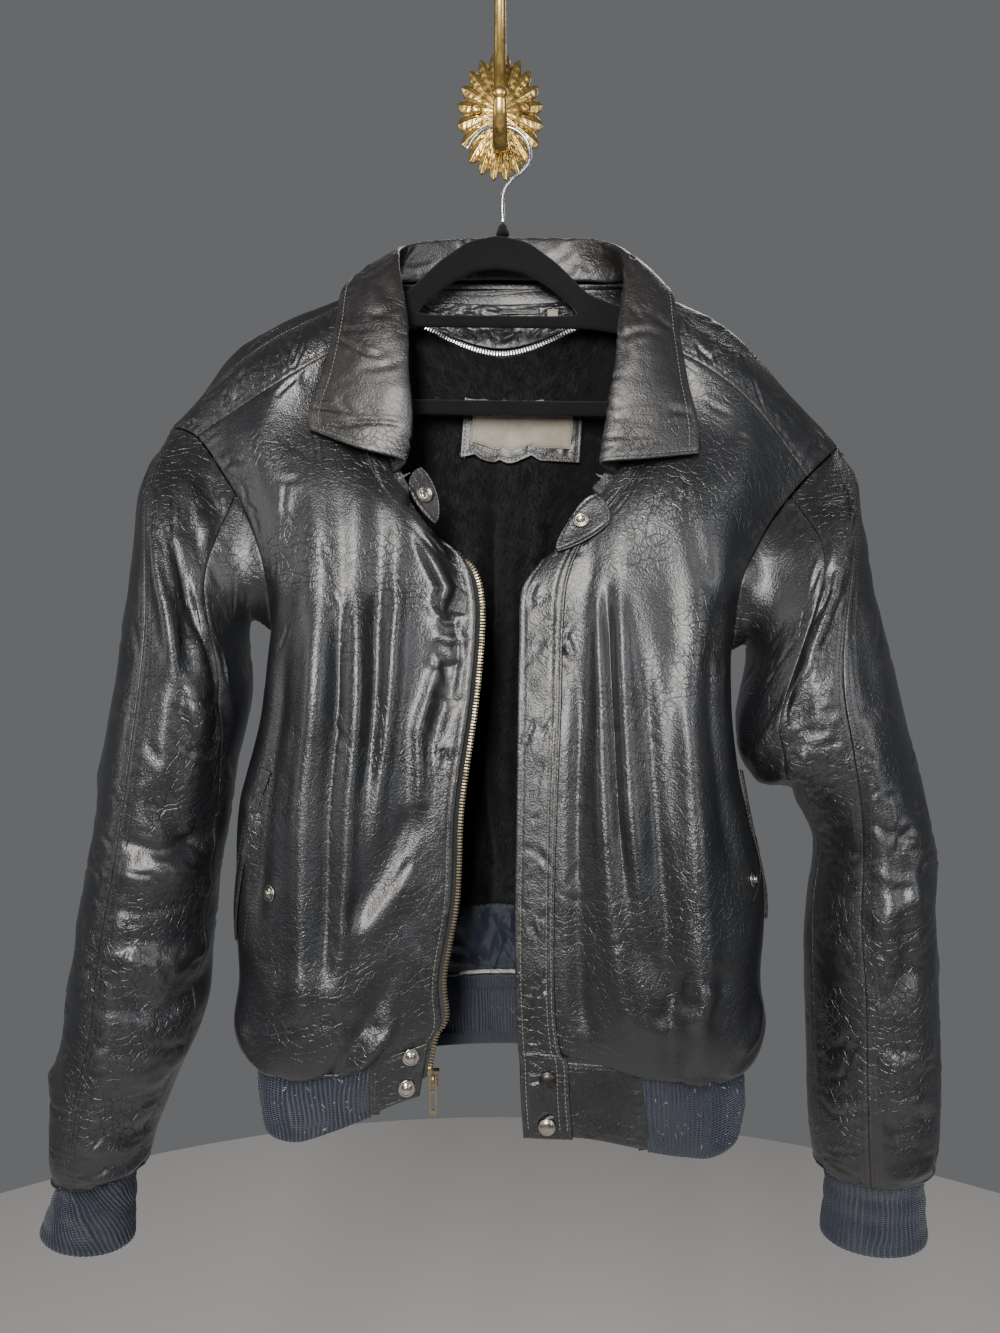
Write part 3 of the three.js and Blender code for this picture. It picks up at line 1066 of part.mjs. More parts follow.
function addWallHook(solid) {
  // half its width along X and half its thickness
  const bar = (wide, thick) => {
    const shape = new THREE.Shape();
    shape.absellipse(0, 0, wide, thick, 0, 2 * Math.PI, false, 0);
    return shape;
  };
  const path = (points) => new THREE.CatmullRomCurve3(points.map(([y, z]) => new THREE.Vector3(0, y, z)));
  const armPath = path([[-3, 14], [-15, 24], [-30, 40], [-43, 62], [-52, 84]]);
  const armBar = bar(5.5, 3.2);
  const upper = new THREE.ExtrudeGeometry(armBar, { steps: 8, extrudePath: armPath, curveSegments: 4 });
  const knob = new THREE.SphereGeometry(9, 12, 7);
  knob.translate(0, -54, 90);
  const prongPath = path([[-3, -22], [-12, -33.3], [-28, -40.2], [-45, -38.3], [-56, -29.6], [-61, -16.5]]);
  const prongBar = bar(6, 3);
  const lower = new THREE.ExtrudeGeometry(prongBar, { steps: 10, extrudePath: prongPath, curveSegments: 4 });
  const tip = new THREE.SphereGeometry(6.2, 10, 6);
  tip.scale(1, 0.6, 0.8);
  tip.translate(0, -61.4, -15);
  add("wall_hook", solid.join(rosette(), upper, knob, lower, tip), brass);
  for (const [name, x, z] of [["screw_left", -20, 3], ["screw_right", 21, 4]]) {
    const head = new THREE.LatheGeometry(
      [[0, 0], [4.6, 0], [4.4, 1.2], [2.6, 2.3], [0, 2.7]].map(([r, h]) => new THREE.Vector2(r, h)),
      12,
    );
    head.rotateX(Math.PI);
    add(name, head, brass).position.set(x, -6.1, z);
  }
}

// Joins closed meshes into one solid.
async function joiner() {
  const wasm = await Module();
  wasm.setup();
  const { mergeVertices } = await import("three/addons/utils/BufferGeometryUtils.js");
  const toSolid = (geometry) => {
    const bare = geometry.index ? geometry.toNonIndexed() : geometry.clone();
    const merged = mergeVertices(
      new THREE.BufferGeometry().setAttribute("position", bare.getAttribute("position")),
      1e-3,
    );
    const vertProperties = new Float32Array(merged.getAttribute("position").array);
    const triVerts = new Uint32Array(merged.index.array);
    return new wasm.Manifold(new wasm.Mesh({ numProp: 3, vertProperties, triVerts }));
  };
  const join = (...geometries) => {
    const whole = geometries.map(toSolid).reduce((a, b) => a.add(b));
    const mesh = whole.getMesh();
    const geometry = new THREE.BufferGeometry();
    geometry.setAttribute("position", new THREE.BufferAttribute(new Float32Array(mesh.vertProperties), 3));
    geometry.setIndex(new THREE.BufferAttribute(new Uint32Array(mesh.triVerts), 1));
    return geometry;
  };
  return { join };
}

const solid = await joiner();
addBody();
addSleeve("left", sleeveL, -1);
addSleeve("right", sleeveR, 1);
addCollar();
addFrontEdges();
addWaist();
addCuffs();
addInside();
addNeckTrim();
addLabels();
addPockets();
addSnaps();
addSlider(solid);
addPullTab();
addHanger();
addHangerHook();
addWallHook(solid);

export default group;
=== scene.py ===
import bmesh
import bpy
import math

import numpy as np
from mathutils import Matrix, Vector


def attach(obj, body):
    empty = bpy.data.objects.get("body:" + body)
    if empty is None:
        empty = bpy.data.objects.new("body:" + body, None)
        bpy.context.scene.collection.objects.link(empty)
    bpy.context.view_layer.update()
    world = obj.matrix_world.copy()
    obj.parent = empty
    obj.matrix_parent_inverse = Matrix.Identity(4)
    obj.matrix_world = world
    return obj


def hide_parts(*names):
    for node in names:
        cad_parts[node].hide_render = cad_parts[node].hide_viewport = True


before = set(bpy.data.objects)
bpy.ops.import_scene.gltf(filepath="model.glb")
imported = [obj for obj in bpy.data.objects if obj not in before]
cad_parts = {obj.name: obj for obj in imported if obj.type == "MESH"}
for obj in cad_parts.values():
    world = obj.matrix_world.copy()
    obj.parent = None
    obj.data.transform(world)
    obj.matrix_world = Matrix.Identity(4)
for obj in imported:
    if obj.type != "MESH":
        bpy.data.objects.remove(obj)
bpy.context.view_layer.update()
MM = 0.001
SEAM_GAP = 0.2
LEATHER_THICK = 1.3
SEAM_DIP = 0.5
STITCH_DIP = 0.45
PUCKER_RISE = 0.45
PUCKER_LONG = 8.5


# Vectors and curves
def arr(x):
    return np.asarray(x, dtype=float)


def unit(v):
    return v / np.maximum(np.linalg.norm(v, axis=-1, keepdims=True), 1e-9)


def smooth(x):
    k = np.clip(x, 0, 1)
    return k * k * (3 - 2 * k)


def between(a, b, c, d, u):
    """Catmull-Rom from b to c."""
    return (a * (-0.5 * u + u * u - 0.5 * u**3) + b * (1 - 2.5 * u * u + 1.5 * u**3)
            + c * (0.5 * u + 2 * u * u - 1.5 * u**3) + d * (-0.5 * u * u + 0.5 * u**3))


def through(points, closed=False):
    """A smooth curve, read at knot numbers."""
    pts = arr(points)
    n = len(pts)
    padded = pts if closed else np.vstack([2 * pts[:1] - pts[1:2], pts, 2 * pts[-1:] - pts[-2:-1]])

    def read(x):
        x = arr(x)
        i = np.floor(x).astype(int)
        if not closed:
            i = np.clip(i, 0, n - 2)
        u = (x - i)[..., None]
        pick = (lambda k: padded[(i + k) % n]) if closed else (lambda k: padded[i + k + 1])
        return between(pick(-1), pick(0), pick(1), pick(2), u)

    return read


def run(*parts):
    """Stretches of curves (curve, from, to), one after the other, read from 0 to 1."""
    total = sum(abs(b - a) for _, a, b in parts)

    def read(t):
        x = arr(t) * total
        out = np.zeros(x.shape + (3,))
        start = 0.0
        for k, (curve, a, b) in enumerate(parts):
            size = abs(b - a)
            last = k == len(parts) - 1
            mask = (x >= start) & ((x <= start + size) | last)
            if np.any(mask):
                out[mask] = curve(a + np.sign(b - a) * (x[mask] - start))
            start += size
        return out

    return read


def sheet(rows, left=None, right=None, top=None, closed=False):
    """A smooth surface through rows of points, drawn to its seam curves."""
    net = arr([[list(p) for p in row] for row in rows])
    if not closed:
        net = np.concatenate([2 * net[:, :1] - net[:, 1:2], net, 2 * net[:, -1:] - net[:, -2:-1]], axis=1)
    net = np.concatenate([2 * net[:1] - net[1:2], net, 2 * net[-1:] - net[-2:-1]], axis=0)
    count = len(rows[0])
    cells = count if closed else count - 1
    last = len(rows) - 1

    def plain(s, t):
        s, t = np.broadcast_arrays(arr(s), arr(t))
        x, y = s * cells, t * last
        j = np.floor(x).astype(int)
        if not closed:
            j = np.clip(j, 0, count - 2)
        i = np.clip(np.floor(y).astype(int), 0, last - 1)
        u, v = (x - j)[..., None], (y - i)[..., None]
        lines = []
        for a in range(4):
            col = (lambda k: net[i + a, (j + k) % count]) if closed else (lambda k: net[i + a, j + k + 1])
            lines.append(between(col(-1), col(0), col(1), col(2), u))
        return between(*lines, v)

    def near(x):
        return (np.clip(1 - x, 0, 1) ** 2)[..., None]

    def sided(s, t):
        point = plain(s, t)
        if left:
            point = point + (left(t) - plain(0 * s, t)) * near(s * cells)
        if right:
            point = point + (right(t) - plain(0 * s + 1, t)) * near((1 - s) * cells)
        return point

    def whole(s, t):
        s, t = np.broadcast_arrays(arr(s), arr(t))
        point = sided(s, t)
        if top:
            point = point + (top(s) - sided(s, 0 * t)) * near(t * last)
        return point

    return whole


def normals(surface, s, t, outward):
    step = 0.004
    ds = surface(np.minimum(s + step, 1), t) - surface(np.maximum(s - step, 0), t)
    dt = surface(s, np.minimum(t + step, 1)) - surface(s, np.maximum(t - step, 0))
    return unit(np.cross(ds, dt)) * outward


def faded(along, ends=4):
    """One along a path's middle, falling to nothing at its ends."""
    return smooth(along * ends) * smooth((1 - along) * ends)


def to_path(x, y, path):
    """Distance of points to a path, and how far along the path the nearest place is."""
    best = np.full(x.shape, np.inf)
    along = np.zeros(x.shape)
    for i in range(len(path) - 1):
        ax, ay = path[i]
        bx, by = path[i + 1][0] - ax, path[i + 1][1] - ay
        k = np.clip(((x - ax) * bx + (y - ay) * by) / max(bx * bx + by * by, 1e-9), 0, 1)
        far = np.hypot(x - ax - k * bx, y - ay - k * by)
        closer = far < best
        best = np.where(closer, far, best)
        along = np.where(closer, (i + k) / (len(path) - 1), along)
    return best, along


def folded(surface, panel, outward, folds, hold=(14, 14)):
    """A surface with the folds that its solid has too."""
    def read(s, t):
        s, t = np.broadcast_arrays(arr(s), arr(t))
        x, y = s * panel[0], t * panel[1]
        keep = smooth(np.minimum(x, panel[0] - x) / hold[0]) * smooth(np.minimum(y, panel[1] - y) / hold[1])
        rise = np.zeros(s.shape)
        for path, high, width in folds:
            far, along = to_path(x, y, [(a * panel[0], b * panel[1]) for a, b in path])
            rise += high * faded(along) * np.exp(-((far / width) ** 2))
        return surface(s, t) + normals(surface, s, t, outward) * (rise * keep)[..., None]

    return read


# Seams and nets, as cut and hung


ARMHOLE_LEFT = [
  [-264, -45, -275], [-239, -63, -286], [-214, -79, -318], [-192, -91, -353], [-177, -98, -396],
  [-177, -70, -440], [-176, -30, -404], [-193, -17, -355], [-228, -20, -305], [-254, -32, -284],
]
ARMHOLE_RIGHT = [
  [272, -45, -291], [242, -64, -318], [213, -80, -350], [195, -91, -377], [181, -97, -408],
  [180, -70, -455], [179, -30, -419], [197, -17, -368], [234, -20, -320], [262, -32, -300],
]
SIDE_LEFT = [
  [-177, -70, -440], [-182, -68, -500], [-201, -67, -570], [-204, -66, -636], [-201, -64, -694],
  [-205, -62, -730], [-199, -61, -755], [-190, -63, -757], [-189, -62, -782], [-185, -61, -806],
]
SIDE_RIGHT = [
  [180, -70, -455], [179, -68, -505], [189, -66, -575], [204, -66, -640], [200, -64, -700],
  [204, -62, -733], [199, -61, -757], [190, -63, -756], [191, -62, -782], [188, -61, -808],
]
RIDGE_LEFT = [
  [-264, -45, -275], [-214, -58, -233], [-178, -59, -207], [-136, -58, -186], [-97, -49, -163],
]
RIDGE_RIGHT = [
  [272, -45, -291], [210, -58, -234], [178, -59, -207], [139, -58, -185], [104, -49, -164],
]
YOKE_LEFT = [[-239, -63, -286], [-195, -75, -262], [-156, -79, -239], [-103, -66, -206]]
YOKE_RIGHT = [[242, -64, -318], [199, -77, -268], [160, -78, -236], [110, -66, -207]]
NECK = [
  [-80, -86, -326], [-88, -80, -292], [-96, -74, -248], [-103, -66, -206], [-97, -49, -163],
  [-80, -28, -154], [-40, -19, -151], [0, -17, -150], [42, -19, -151], [84, -28, -154],
  [104, -49, -164], [110, -66, -207], [104, -74, -248], [96, -82, -292], [84, -90, -328],
]
FRONT_LEFT_ROWS = [
  [ARMHOLE_LEFT[1], YOKE_LEFT[1], YOKE_LEFT[2], NECK[3], NECK[2], NECK[1], NECK[0]],
  [ARMHOLE_LEFT[2], [-188, -90, -298], [-160, -86, -284], [-131, -77, -268], [-110, -82, -290],
    [-90, -94, -325], [-53, -95, -363]],
  [ARMHOLE_LEFT[3], [-168, -103, -345], [-142, -107, -340], [-116, -105, -338], [-92, -104, -346],
    [-62, -103, -367], [-28, -102, -385]],
  [ARMHOLE_LEFT[4], [-160, -110, -397], [-138, -117, -398], [-112, -116, -400], [-82, -112, -402],
    [-50, -109, -405], [-19, -106, -410]],
  [ARMHOLE_LEFT[5], [-170, -103, -441], [-145, -123, -441], [-115, -126, -442], [-82, -120, -443],
    [-48, -114, -443], [-18, -110, -443]],
  [SIDE_LEFT[1], [-176, -104, -500], [-150, -128, -500], [-117, -132, -500], [-84, -124, -500],
    [-52, -118, -500], [-23, -115, -498]],
  [SIDE_LEFT[2], [-191, -104, -570], [-162, -128, -570], [-125, -136, -570], [-90, -128, -570],
    [-60, -122, -570], [-33, -120, -570]],
  [SIDE_LEFT[3], [-195, -106, -640], [-165, -130, -640], [-128, -138, -640], [-94, -131, -640],
    [-63, -124, -640], [-36, -120, -638]],
  [SIDE_LEFT[4], [-194, -104, -699], [-166, -131, -702], [-130, -140, -704], [-98, -134, -702],
    [-71, -126, -699], [-45, -119, -695]],
  [SIDE_LEFT[5], [-198, -103, -738], [-168, -130, -744], [-132, -136, -746], [-101, -132, -744],
    [-74, -124, -738], [-43, -117, -725]],
  [SIDE_LEFT[6], [-189, -98, -763], [-164, -121, -766], [-130, -127, -766], [-98, -123, -760],
    [-73, -120, -747], [-47, -115, -737]],
  [SIDE_LEFT[7], [-180, -93, -759], [-156, -112, -761], [-126, -118, -761], [-96, -119, -758],
    [-75, -118, -751], [-52, -114, -744]],
  [SIDE_LEFT[8], [-182, -92, -789], [-157, -112, -789], [-126, -119, -785], [-96, -118, -778],
    [-77, -116, -772], [-56, -114, -765]],
  [SIDE_LEFT[9], [-178, -90, -819], [-153, -109, -819], [-124, -117, -808], [-96, -117, -797],
    [-79, -115, -790], [-59, -113, -784]],
]
FRONT_RIGHT_ROWS = [
  [ARMHOLE_RIGHT[1], YOKE_RIGHT[1], YOKE_RIGHT[2], NECK[11], NECK[12], NECK[13], NECK[14]],
  [ARMHOLE_RIGHT[2], [191, -89, -302], [162, -86, -284], [134, -78, -268], [114, -84, -292],
    [94, -94, -326], [62, -94, -350]],
  [ARMHOLE_RIGHT[3], [172, -104, -354], [146, -108, -343], [121, -107, -340], [99, -105, -347],
    [72, -103, -364], [45, -99, -380]],
  [ARMHOLE_RIGHT[4], [165, -113, -403], [142, -119, -400], [114, -118, -400], [84, -114, -402],
    [56, -109, -404], [31, -104, -408]],
  [ARMHOLE_RIGHT[5], [172, -101, -452], [148, -125, -450], [116, -128, -450], [84, -122, -450],
    [56, -115, -450], [29, -108, -450]],
  [SIDE_RIGHT[1], [173, -102, -505], [150, -128, -505], [118, -134, -505], [86, -127, -505],
    [56, -119, -505], [28, -114, -505]],
  [SIDE_RIGHT[2], [184, -104, -575], [158, -131, -575], [122, -140, -575], [88, -132, -575],
    [54, -123, -575], [27, -118, -575]],
  [SIDE_RIGHT[3], [196, -105, -640], [168, -134, -640], [130, -143, -640], [92, -136, -640],
    [53, -126, -640], [26, -120, -640]],
  [SIDE_RIGHT[4], [194, -105, -700], [170, -136, -702], [134, -145, -704], [94, -138, -702],
    [53, -126, -698], [26, -121, -695]],
  [SIDE_RIGHT[5], [198, -103, -737], [172, -133, -742], [136, -141, -744], [98, -135, -742],
    [55, -125, -730], [27, -120, -726]],
  [SIDE_RIGHT[6], [190, -98, -763], [168, -124, -766], [136, -131, -766], [101, -128, -764],
    [58, -123, -750], [28, -119, -746]],
  [SIDE_RIGHT[7], [181, -93, -758], [158, -114, -761], [132, -121, -762], [104, -122, -760],
    [62, -121, -757], [29, -118, -755]],
  [SIDE_RIGHT[8], [184, -92, -790], [160, -114, -792], [133, -121, -792], [106, -121, -790],
    [64, -120, -786], [30, -118, -784]],
  [SIDE_RIGHT[9], [181, -90, -825], [158, -111, -829], [134, -119, -825], [109, -120, -821],
    [66, -119, -813], [32, -117, -812]],
]
FOLDS_LEFT = [
  ([[0.4, 0.26], [0.42, 0.42], [0.44, 0.58], [0.46, 0.68]], 5, 11),
  ([[0.56, 0.24], [0.57, 0.36], [0.58, 0.5], [0.57, 0.62]], 4.5, 9),
  ([[0.49, 0.24], [0.5, 0.38], [0.52, 0.52], [0.53, 0.62]], -4.5, 8),
  ([[0.7, 0.2], [0.69, 0.3], [0.68, 0.42], [0.66, 0.52]], 4, 9),
  ([[0.63, 0.22], [0.63, 0.34], [0.63, 0.46]], -3.5, 7),
  ([[0.8, 0.15], [0.88, 0.24], [0.83, 0.31]], 4, 7),
  ([[0.84, 0.3], [0.9, 0.37], [0.84, 0.43]], -3, 8),
  ([[0.9, 0.3], [0.8, 0.4], [0.86, 0.48]], 3, 7),
  ([[0.82, 0.58], [0.68, 0.66], [0.54, 0.76], [0.46, 0.8]], -4, 10),
  ([[0.84, 0.65], [0.72, 0.7], [0.6, 0.76]], 3.5, 9),
  ([[0.26, 0.3], [0.28, 0.45], [0.27, 0.58]], -4, 11),
  ([[0.2, 0.66], [0.26, 0.72], [0.36, 0.76]], 3, 10),
  ([[0.16, 0.74], [0.24, 0.78], [0.4, 0.78]], -3, 8),
]
FOLDS_RIGHT = [
  ([[0.74, 0.2], [0.74, 0.36], [0.72, 0.54], [0.66, 0.7]], 4.5, 9),
  ([[0.64, 0.22], [0.64, 0.4], [0.63, 0.58]], 4, 8),
  ([[0.69, 0.22], [0.69, 0.38], [0.67, 0.54]], -3.5, 6),
  ([[0.56, 0.28], [0.56, 0.46], [0.56, 0.66], [0.58, 0.78]], -5, 10),
  ([[0.42, 0.3], [0.43, 0.46], [0.46, 0.62], [0.5, 0.76]], 5, 12),
  ([[0.82, 0.3], [0.82, 0.46], [0.81, 0.62], [0.8, 0.72]], -3.5, 8),
  ([[0.3, 0.28], [0.32, 0.4], [0.31, 0.54]], -4, 11),
  ([[0.36, 0.74], [0.46, 0.8], [0.56, 0.82]], -4.5, 9),
  ([[0.34, 0.8], [0.44, 0.76], [0.56, 0.74]], 4, 9),
  ([[0.18, 0.62], [0.26, 0.68], [0.36, 0.7]], 3, 10),
]
SHOULDER_TOP = [
  [-259, -38, -279], [-217, -43, -219], [-180, -45, -194], [-136, -45, -175], [-99, -42, -161],
  [-80, -26, -157], [0, -16, -157], [84, -26, -157], [107, -42, -162], [139, -45, -175],
  [178, -45, -193], [210, -43, -222], [267, -38, -295],
]
BEHIND_SHOULDERS = [
  [-254, -32, -284], [-218, -26, -234], [-180, -25, -210], [-136, -25, -195], [-98, -23, -182],
  [-66, -18, -182], [0, -16, -185], [68, -18, -182], [103, -23, -183], [139, -25, -195],
  [178, -25, -210], [212, -26, -236], [262, -32, -300],
]
FOLDS_BACK = [
  ([[0.22, 0.2], [0.25, 0.4], [0.24, 0.62]], 2, 16),
  ([[0.34, 0.24], [0.36, 0.45], [0.35, 0.7]], -3, 15),
  ([[0.47, 0.2], [0.47, 0.45], [0.48, 0.74]], 2.5, 17),
  ([[0.6, 0.22], [0.59, 0.44], [0.6, 0.7]], -3, 15),
  ([[0.74, 0.2], [0.72, 0.42], [0.74, 0.66]], 3, 16),
]
RINGS_LEFT = [
  (-236, -68, -378, 40, 48, 45, 1.4, 0.8),
  (-240, -73, -455, 45, 60, 68, 0.85, 0.5),
  (-252, -76, -530, 46, 62, 75, 0.4, 0.2),
  (-260, -76, -587, 47, 62, 75, 0.2, 0),
  (-267, -77, -628, 48, 60, 75, 0.1, 0),
  (-274, -75, -675, 51, 61, 74, 0.05, 0),
  (-281, -76, -735, 51, 58, 73, 0.03, 0),
  (-296, -75, -785, 45, 54, 73, 0, 0),
  (-305, -75, -826, 38, 49, 73, -0.05, 0),
  (-308, -74, -852, 33, 42, 73, -0.08, 0),
  (-309, -74, -849, 29, 36, 73, -0.08, 0),
]
RINGS_RIGHT = [
  (236, -68, -395, 42, 48, 40, 1.4, 0.8),
  (239, -73, -470, 54, 60, 82, 0.7, 0.6),
  (251, -76, -528, 59, 62, 89, 0.3, 0.4),
  (273, -76, -559, 47, 60, 108, 0.15, 0.2),
  (287, -77, -602, 41, 62, 127, 0.1, 0),
  (285, -76, -650, 45, 62, 123, 0.05, 0),
  (285, -76, -710, 47, 60, 117, 0.02, 0),
  (287, -75, -767, 48, 56, 116, 0.02, 0),
  (288, -75, -815, 48, 51, 114, 0.02, 0),
  (289, -74, -849, 44, 44, 112, 0.02, 0),
  (289, -74, -846, 38, 37, 112, 0.02, 0),
]
SLEEVE_FOLDS_L = [
  ([[0.02, 0.1], [0.12, 0.2], [0.22, 0.24]], 5, 11),
  ([[0.1, 0.08], [0.2, 0.14], [0.3, 0.24]], -4, 9),
  ([[0.04, 0.3], [0.16, 0.36], [0.3, 0.34]], -4, 11),
  ([[0.06, 0.4], [0.18, 0.42], [0.3, 0.48]], 4, 12),
  ([[0.04, 0.58], [0.16, 0.61], [0.34, 0.58]], -5, 9),
  ([[0.03, 0.54], [0.14, 0.565], [0.32, 0.54]], 5, 10),
  ([[0.05, 0.66], [0.18, 0.7], [0.3, 0.66]], 3.5, 11),
  ([[0.05, 0.76], [0.17, 0.79], [0.3, 0.8]], -3.5, 10),
  ([[0.04, 0.86], [0.16, 0.88], [0.32, 0.87]], 3, 10),
  ([[0.62, 0.3], [0.75, 0.34], [0.9, 0.3]], 3.5, 13),
  ([[0.6, 0.52], [0.76, 0.56], [0.92, 0.55]], -4, 12),
  ([[0.62, 0.7], [0.78, 0.72], [0.92, 0.7]], 3.5, 12),
]
SLEEVE_FOLDS_R = [
  ([[0.04, 0.1], [0.14, 0.2], [0.3, 0.26]], 4.5, 11),
  ([[0.12, 0.3], [0.24, 0.36], [0.4, 0.36]], -4, 10),
  ([[0.05, 0.24], [0.2, 0.3], [0.36, 0.3]], 4, 11),
  ([[0.82, 0.5], [0.92, 0.53], [0.98, 0.56]], 4, 11),
  ([[0.8, 0.6], [0.9, 0.6], [0.98, 0.64]], -4, 10),
  ([[0.8, 0.68], [0.9, 0.7], [0.98, 0.72]], 3.5, 10),
  ([[0.8, 0.78], [0.9, 0.79], [0.97, 0.8]], -3.5, 10),
  ([[0.8, 0.87], [0.9, 0.87], [0.98, 0.88]], 3, 10),
  ([[0.5, 0.4], [0.62, 0.44], [0.76, 0.42]], -4, 13),
  ([[0.5, 0.6], [0.64, 0.62], [0.76, 0.6]], 3.5, 12),
]
COLLAR_STAND = [
  [-75, -91, -323], [-77, -87, -289], [-83, -83, -247], [-88, -75, -206], [-89, -55, -159],
  [-82, -32, -142], [-42, -22, -134], [0, -20, -132], [43, -22, -134], [88, -32, -142],
  [98, -56, -159], [101, -75, -206], [94, -85, -248], [87, -89, -290], [79, -94, -325],
]
COLLAR_ROLL = [
  [-74, -99, -318], [-67, -99, -283], [-69, -96, -245], [-71, -84, -199], [-80, -60, -146],
  [-76, -36, -125], [-42, -22, -114], [0, -18, -111], [44, -22, -113], [82, -38, -122],
  [98, -60, -144], [91, -85, -198], [86, -96, -245], [79, -101, -288], [75, -105, -320],
]
COLLAR_FALL = [
  [-108, -101, -308], [-105, -99, -277], [-102, -96, -243], [-100, -88, -202], [-102, -65, -155],
  [-92, -28, -134], [-48, -11, -126], [0, -8, -125], [50, -11, -126], [99, -28, -133],
  [116, -66, -155], [114, -90, -203], [114, -99, -246], [113, -104, -288], [110, -108, -317],
]
COLLAR_EDGE = [
  [-146, -90, -289], [-147, -88, -270], [-136, -85, -240], [-128, -79, -203], [-123, -63, -168],
  [-108, -22, -152], [-54, -8, -160], [0, -7, -165], [56, -8, -160], [114, -22, -152],
  [134, -64, -171], [139, -81, -213], [144, -89, -250], [151, -98, -288], [149, -104, -311],
]



arm_l, arm_r = through(ARMHOLE_LEFT, True), through(ARMHOLE_RIGHT, True)
side_l, side_r = through(SIDE_LEFT), through(SIDE_RIGHT)
ridge_l, ridge_r = through(RIDGE_LEFT), through(RIDGE_RIGHT)
yoke_seam_l, yoke_seam_r = through(YOKE_LEFT), through(YOKE_RIGHT)
neck_seam = through(NECK)
FRONT_PANEL = (250, 500)
BACK_PANEL = (520, 630)
SLEEVE_PANEL = (370, 600)
HEM_SEAM = 11 / 13
BACK_HEM = 13 / 15

front_l = folded(
    sheet(FRONT_LEFT_ROWS, left=run((arm_l, 1, 5), (side_l, 0, 9)),
          top=run((yoke_seam_l, 0, 3), (neck_seam, 3, 0))),
    FRONT_PANEL, -1, FOLDS_LEFT)
front_r = folded(
    sheet(FRONT_RIGHT_ROWS, left=run((arm_r, 1, 5), (side_r, 0, 9)),
          top=run((yoke_seam_r, 0, 3), (neck_seam, 11, 14))),
    FRONT_PANEL, 1, FOLDS_RIGHT)


def yoke_sheet(ridge_seam, lower, arm, lower_seam, neck_from, neck_to):
    ridge = [ridge_seam(i / 3 * 4) for i in range(4)]
    middle = [0.5 * (ridge[i] + arr(lower[i])) + arr([0, -3, 3]) * (i > 0) for i in range(4)]
    middle[0] = arm(0.5)
    middle[3] = neck_seam((neck_from + neck_to) / 2)
    base = sheet([ridge, middle, lower], left=run((arm, 0, 1)), right=run((neck_seam, neck_from, neck_to)),
                 top=lambda s: ridge_seam(s * 4))

    def read(s, t):
        s, t = np.broadcast_arrays(arr(s), arr(t))
        pull = (np.clip(2 * t - 1, 0, 1) ** 2)[..., None]
        return base(s, t) + (lower_seam(s * 3) - base(s, 0 * t + 1)) * pull

    return read


yoke_l = yoke_sheet(ridge_l, YOKE_LEFT, arm_l, yoke_seam_l, 4, 3)
yoke_r = yoke_sheet(ridge_r, YOKE_RIGHT, arm_r, yoke_seam_r, 10, 11)

BACK_SHARES = [0, 0.11, 0.2, 0.29, 0.37, 0.44, 0.5, 0.56, 0.63, 0.71, 0.8, 0.89, 1]


def back_row(left, right, depth, height, wave=0):
    row = []
    for i, share in enumerate(BACK_SHARES):
        end = abs(2 * share - 1)
        seam = left if share < 0.5 else right
        x = left[0] + (right[0] - left[0]) * share
        y = depth + (seam[1] - depth) * end**7 + wave * math.cos(i * 2.1) * (1 - end)
        row.append((x, y, height + (seam[2] - height) * end**2))
    row[0], row[-1] = left, right
    return row


BACK_TOP = [ARMHOLE_LEFT[0], RIDGE_LEFT[1], RIDGE_LEFT[2], RIDGE_LEFT[3], NECK[4], NECK[5], NECK[7], NECK[9],
            NECK[10], RIDGE_RIGHT[3], RIDGE_RIGHT[2], RIDGE_RIGHT[1], ARMHOLE_RIGHT[0]]
BACK_LINES = [(ARMHOLE_LEFT[8], ARMHOLE_RIGHT[8], -16, -262, 1),
              (ARMHOLE_LEFT[7], ARMHOLE_RIGHT[7], -15, -335, 2),
              (ARMHOLE_LEFT[6], ARMHOLE_RIGHT[6], -14, -395, 2),
              (ARMHOLE_LEFT[5], ARMHOLE_RIGHT[5], -13, -445, 2),
              (SIDE_LEFT[1], SIDE_RIGHT[1], -13, -500, 2), (SIDE_LEFT[2], SIDE_RIGHT[2], -13, -560, 2),
              (SIDE_LEFT[3], SIDE_RIGHT[3], -12, -620, 2), (SIDE_LEFT[4], SIDE_RIGHT[4], -12, -672, 2),
              (SIDE_LEFT[5], SIDE_RIGHT[5], -10, -706, 2), (SIDE_LEFT[6], SIDE_RIGHT[6], -13, -726, 1),
              (SIDE_LEFT[7], SIDE_RIGHT[7], -19, -722, 0), (SIDE_LEFT[8], SIDE_RIGHT[8], -19, -750, 0),
              (SIDE_LEFT[9], SIDE_RIGHT[9], -20, -778, 0)]
BACK_ROWS = [BACK_TOP, SHOULDER_TOP, BEHIND_SHOULDERS] + [back_row(*line) for line in BACK_LINES]
back = folded(
    sheet(BACK_ROWS, left=run((arm_l, 10, 5), (side_l, 0, 9)), right=run((arm_r, 10, 5), (side_r, 0, 9))),
    BACK_PANEL, 1, FOLDS_BACK, (30, 30))


def sleeve_ring(ring, side):
    x, y, z, wide, deep, turn, slope, slack = ring
    row = []
    for i in range(10):
        lag = slack * (1 - math.cos(i * math.pi / 5)) / 2
        angle = math.radians(turn * (1 - lag) + i * 36)
        dx = side * wide * math.cos(angle)
        row.append((x + dx, y - deep * math.sin(angle), z + side * slope * dx))
    return row


